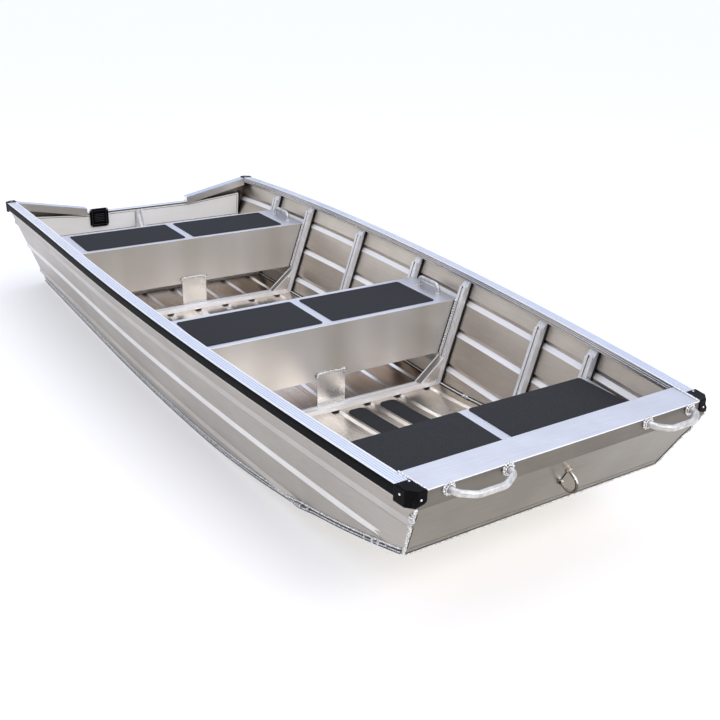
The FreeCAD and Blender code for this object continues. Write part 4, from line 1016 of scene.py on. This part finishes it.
PAD_CENTRE = -0.237
PAD_HALF = 0.054
PAD_TOP = 0.404
PAD_REACH = 0.053
PAD_MIDDLE = PAD_TOP - PAD_REACH
PAD_NOTCH = 0.0108
pad_face = along(DOUBLER_THICK + 0.008)
rim_half = PAD_HALF - PAD_NOTCH - 0.002
rim_high = PAD_REACH - PAD_NOTCH - 0.002
rim = [(pad_face - 0.0006, PAD_CENTRE + y * rim_half, PAD_MIDDLE + z * rim_high) for y,
       z in ((-1, -1), (1, -1), (1, 1), (-1, 1))]
grips = [[(pad_face - 0.0006, PAD_CENTRE - rim_half + 0.012, PAD_MIDDLE + z),
          (pad_face - 0.0006, PAD_CENTRE + rim_half - 0.012, PAD_MIDDLE + z)]
         for z in (-0.020, -0.010, 0.0, 0.010, 0.020)]
bar("clamp_pad_rim", [rim + rim[:1]] + grips, radius=0.0022, finish=grip_rubber, slot="black_plastic",
    sides=8)
corner = PAD_HALF - PAD_NOTCH / 2
bolts = [((along(DOUBLER_THICK), PAD_CENTRE + y, PAD_MIDDLE + z), (1, 0, 0)) for y in (-corner, corner)
         for z in (-corner, corner)]
BOLT_HEAD = ((0.0056, 0.0), (0.0056, 0.004), (0.0042, 0.0052))
fasteners("clamp_pad_bolts", bolts, rings=BOLT_HEAD, sides=6, finish=screw_steel,
          seed=6)

# Bow handles, the U-bolt and the bench grab handles

HANDLE_BAR = 0.0107
HANDLE_KNEES = (0.028, 0.056, 0.056, 0.028)
HANDLE_GRIP = 0.050
HANDLE_REACH = 0.0595
HANDLE_Z = SHEER_BOW - 0.015
HANDLE_LOW = SHEER_BOW - 0.022
handle_lines, handle_rings, handle_necks = [], [], []
for centre, half in ((FITTINGS_SHIFT + 0.390, 0.098), (FITTINGS_SHIFT - 0.382, 0.105)):
    face = along(HULL_LENGTH)
    corners = [(face - 0.002, centre - half, HANDLE_Z),
               (face + HANDLE_REACH / 2, centre - half, HANDLE_Z),
               (face + HANDLE_REACH, centre - HANDLE_GRIP, HANDLE_LOW),
               (face + HANDLE_REACH, centre + HANDLE_GRIP, HANDLE_LOW),
               (face + HANDLE_REACH / 2, centre + half, HANDLE_Z),
               (face - 0.002, centre + half, HANDLE_Z)]
    handle_lines.append(bent_path(corners, HANDLE_KNEES))
    for side in (-half, half):
        handle_rings.append(ring_points((face + 0.003, centre + side, HANDLE_Z), facing=(1, 0, 0),
                                        radius=0.0175))
        handle_necks.append(ring_points((face + 0.008, centre + side, HANDLE_Z), facing=(1, 0, 0),
                                        radius=0.0135))
handles = bar("bow_handle_bars", handle_lines, radius=HANDLE_BAR, finish=tube_alloy,
              slot="tube_aluminium", sides=24)
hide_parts("bow_handles_and_eye")
weld("handle_foot_rings", handle_rings, width=0.0105, pitch=0.0088, seed=29,
     closed=True, uneven=0.3, valley=0.2)
weld("handle_neck_rings", handle_necks, width=0.0065, pitch=0.0070, seed=30,
     closed=True, uneven=0.3, valley=0.2)

eye_z = SHEER_BOW - 0.140
eye_normal = Vector((1, 0, -BOW_SLOPE)).normalized()
eye_rake = Vector((-BOW_SLOPE, 0, -1)).normalized()
eye_middle = Vector((along(bow_station(eye_z)), FITTINGS_SHIFT, eye_z))
EYE_HALF = 0.031
EYE_BEND = 0.0304
EYE_BAR = 0.0052
EYE_REACH = 0.058
WASHER_THICK = 0.0022
eye_upper = eye_middle - eye_rake * EYE_HALF
eye_lower = eye_middle + eye_rake * EYE_HALF
eye_line = bent_path([eye_upper - eye_normal * 0.002, eye_upper + eye_normal * EYE_REACH,
                      eye_lower + eye_normal * EYE_REACH, eye_lower - eye_normal * 0.002],
                     (EYE_BEND, EYE_BEND), 16)
eye = bar("bow_eye_bolt", [eye_line], radius=EYE_BAR, finish=eye_steel, slot="tube_aluminium", sides=16)
# Painted shade across the plate between the U-bolt's legs.
shade_line("bow_eye_tie", [[eye_upper + eye_normal * 0.0012, eye_lower + eye_normal * 0.0012]], radius=0.0014,
     slot="tube_aluminium", sides=8)
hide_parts("bow_handles_and_eye")
NUT = ((0.0098, 0.0), (0.0098, 0.0078), (0.0086, 0.0086))
WASHER = ((0.0115, 0.0), (0.0118, 0.0006), (0.0118, 0.0018), (0.0112, WASHER_THICK))
legs = [(tuple(leg), tuple(eye_normal)) for leg in (eye_upper, eye_lower)]
fasteners("bow_eye_washers", legs, rings=WASHER, sides=24, finish=eye_steel,
          seed=1)
legs = [(tuple(leg + eye_normal * WASHER_THICK), tuple(eye_normal)) for leg in (eye_upper, eye_lower)]
fasteners("bow_eye_nuts", legs, rings=NUT, sides=6, finish=eye_steel, seed=2)

GRAB_BAR = 0.0098
GRAB_INSET = 0.044
GRAB_HALF = 0.0725
GRAB_HEIGHT = 0.042
GRAB_BEND = 0.026
grab_lines, grab_rings = [], []
for aft, front in ((0, 1), (3, 4)):
    station = RIB_STATIONS[aft]
    side = rib_inboard(station, BENCH_TOP) - GRAB_INSET
    middle = (station + RIB_STATIONS[front]) / 2 + 0.008
    first, last = along(middle - GRAB_HALF), along(middle + GRAB_HALF)
    corners = [(first, side, BENCH_TOP - 0.002), (first, side, BENCH_TOP + GRAB_HEIGHT),
               (last, side, BENCH_TOP + GRAB_HEIGHT), (last, side, BENCH_TOP - 0.002)]
    grab_lines.append(bent_path(corners, (GRAB_BEND, GRAB_BEND)))
    for x in (first, last):
        grab_rings.append(ring_points((x, side, BENCH_TOP + 0.002), facing=(0, 0, 1), radius=0.0095))
grabs = bar("bench_grab_bars", grab_lines, radius=GRAB_BAR, finish=tube_alloy, slot="tube_aluminium")
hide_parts("bench_grab_handles")
weld("grab_foot_rings", grab_rings, width=0.008, pitch=0.0062, seed=31,
     closed=True, valley=0.2)

# Stage, lights and camera

FLOOR_LIFT = 0.26
HORIZON_LIFT = 0.17


def floor_plane():
    """Pale floor that keeps the boat's shadow; camera, mirror and glass rays see it a little whiter."""
    mesh = bpy.data.meshes.new("floor")
    reach = 60.0
    mesh.from_pydata([(-reach, -reach, 0), (reach, -reach, 0), (reach, reach, 0), (-reach, reach, 0)],
                     [], [(0, 1, 2, 3)])
    item = linked("floor", mesh)
    material, tree, shader = new_material("pale_studio_floor")
    shader.inputs["Base Color"].default_value = colour("#e9e6e0")
    shader.inputs["Roughness"].default_value = 0.95
    shader.inputs["Specular IOR Level"].default_value = 0.0
    lift = add_node(tree, "ShaderNodeEmission",
                    [("Color", colour("#ffffff")), ("Strength", seen_rays(tree, FLOOR_LIFT))])
    both = add_node(tree, "ShaderNodeAddShader", [(0, shader.outputs[0]), (1, lift.outputs[0])])
    tree.links.new(both.outputs[0], tree.nodes["Material Output"].inputs["Surface"])
    mesh.materials.append(material)
    return item


def seen_rays(tree, level):
    """A level for camera, glossy and transmission rays, and nothing for the rest."""
    ray = add_node(tree, "ShaderNodeLightPath")
    seen = add_node(tree, "ShaderNodeMath",
                    [(0, ray.outputs["Is Camera Ray"]), (1, ray.outputs["Is Glossy Ray"])],
                    operation="MAXIMUM")
    seen = add_node(tree, "ShaderNodeMath",
                    [(0, seen.outputs[0]), (1, ray.outputs["Is Transmission Ray"])],
                    operation="MAXIMUM")
    return add_node(tree, "ShaderNodeMath", [(0, seen.outputs[0]), (1, level)],
                    operation="MULTIPLY").outputs[0]


def sky():
    """Plain soft dome, white at the horizon for seen rays and faintly blue overhead."""
    world = bpy.data.worlds.new("soft_sky")
    bpy.context.scene.world = world
    world.use_nodes = True
    tree = world.node_tree
    tree.nodes.clear()
    way = add_node(tree, "ShaderNodeTexCoord")
    axes = add_node(tree, "ShaderNodeSeparateXYZ", [(0, way.outputs["Generated"])])
    tint = add_node(tree, "ShaderNodeValToRGB", [("Fac", axes.outputs["Z"])],
                    stops=((0.0, colour("#fbfaf8")), (0.35, colour("#e3eaff"))))
    power = add_node(tree, "ShaderNodeMapRange",
                     [("Value", axes.outputs["Z"]), ("From Min", 0.1), ("From Max", 0.9),
                      ("To Min", 0.9), ("To Max", 1.2)])
    haze = add_node(tree, "ShaderNodeMapRange",
                    [("Value", axes.outputs["Z"]), ("From Min", 0.15), ("From Max", 0.35),
                     ("To Min", HORIZON_LIFT), ("To Max", 0.0)])
    level = add_node(tree, "ShaderNodeMath",
                     [(0, power.outputs[0]), (1, seen_rays(tree, haze.outputs[0]))], operation="ADD")
    dome = add_node(tree, "ShaderNodeBackground",
                    [("Color", tint.outputs[0]), ("Strength", level.outputs[0])])
    add_node(tree, "ShaderNodeOutputWorld", [("Surface", dome.outputs[0])])


def soft_light(name, place, target, size, power, tint):
    """Rectangular lamp that faces a target."""
    data = bpy.data.lights.new(name, "AREA")
    data.shape = "RECTANGLE"
    data.size, data.size_y = size
    data.energy = power
    data.color = colour(tint)[:3]
    item = bpy.data.objects.new(name, data)
    item.location = place
    item.rotation_euler = (Vector(target) - Vector(place)).to_track_quat("-Z", "Y").to_euler()
    bpy.context.scene.collection.objects.link(item)


floor_plane()
sky()
soft_light("overhead_softbox", place=(0.3, 0.6, 5.0), target=(0, 0, 0), size=(5.0, 3.0), power=50.0,
           tint="#fffdf8")
soft_light("bow_softbox", place=(5.6, 1.0, 4.6), target=(-0.4, 0, 0.3), size=(5.0, 3.2), power=120.0,
           tint="#fff4e6")

CAMERA_PLACE = Vector((3.528, -1.9058, 1.8164))
CAMERA_YAW = math.radians(33.228)
CAMERA_PITCH = math.radians(23.315)
CAMERA_ROLL = math.radians(1.553)
FOCAL_PIXELS = 951.55
IMAGE_PIXELS = 720
camera_data = bpy.data.cameras.new("photo_camera")
camera_data.sensor_width = 36.0
camera_data.lens = FOCAL_PIXELS / IMAGE_PIXELS * camera_data.sensor_width
camera = bpy.data.objects.new("photo_camera", camera_data)
forward = Vector((-math.cos(CAMERA_YAW) * math.cos(CAMERA_PITCH),
                  math.sin(CAMERA_YAW) * math.cos(CAMERA_PITCH), -math.sin(CAMERA_PITCH)))
level_right = forward.cross(Vector((0, 0, 1))).normalized()
level_up = level_right.cross(forward)
right = math.cos(CAMERA_ROLL) * level_right + math.sin(CAMERA_ROLL) * level_up
up = -math.sin(CAMERA_ROLL) * level_right + math.cos(CAMERA_ROLL) * level_up
turn = Matrix((right, up, -forward)).transposed().to_4x4()
camera.matrix_world = Matrix.Translation(CAMERA_PLACE) @ turn
bpy.context.scene.collection.objects.link(camera)
bpy.context.scene.camera = camera
bpy.context.scene.view_settings.view_transform = "Standard"
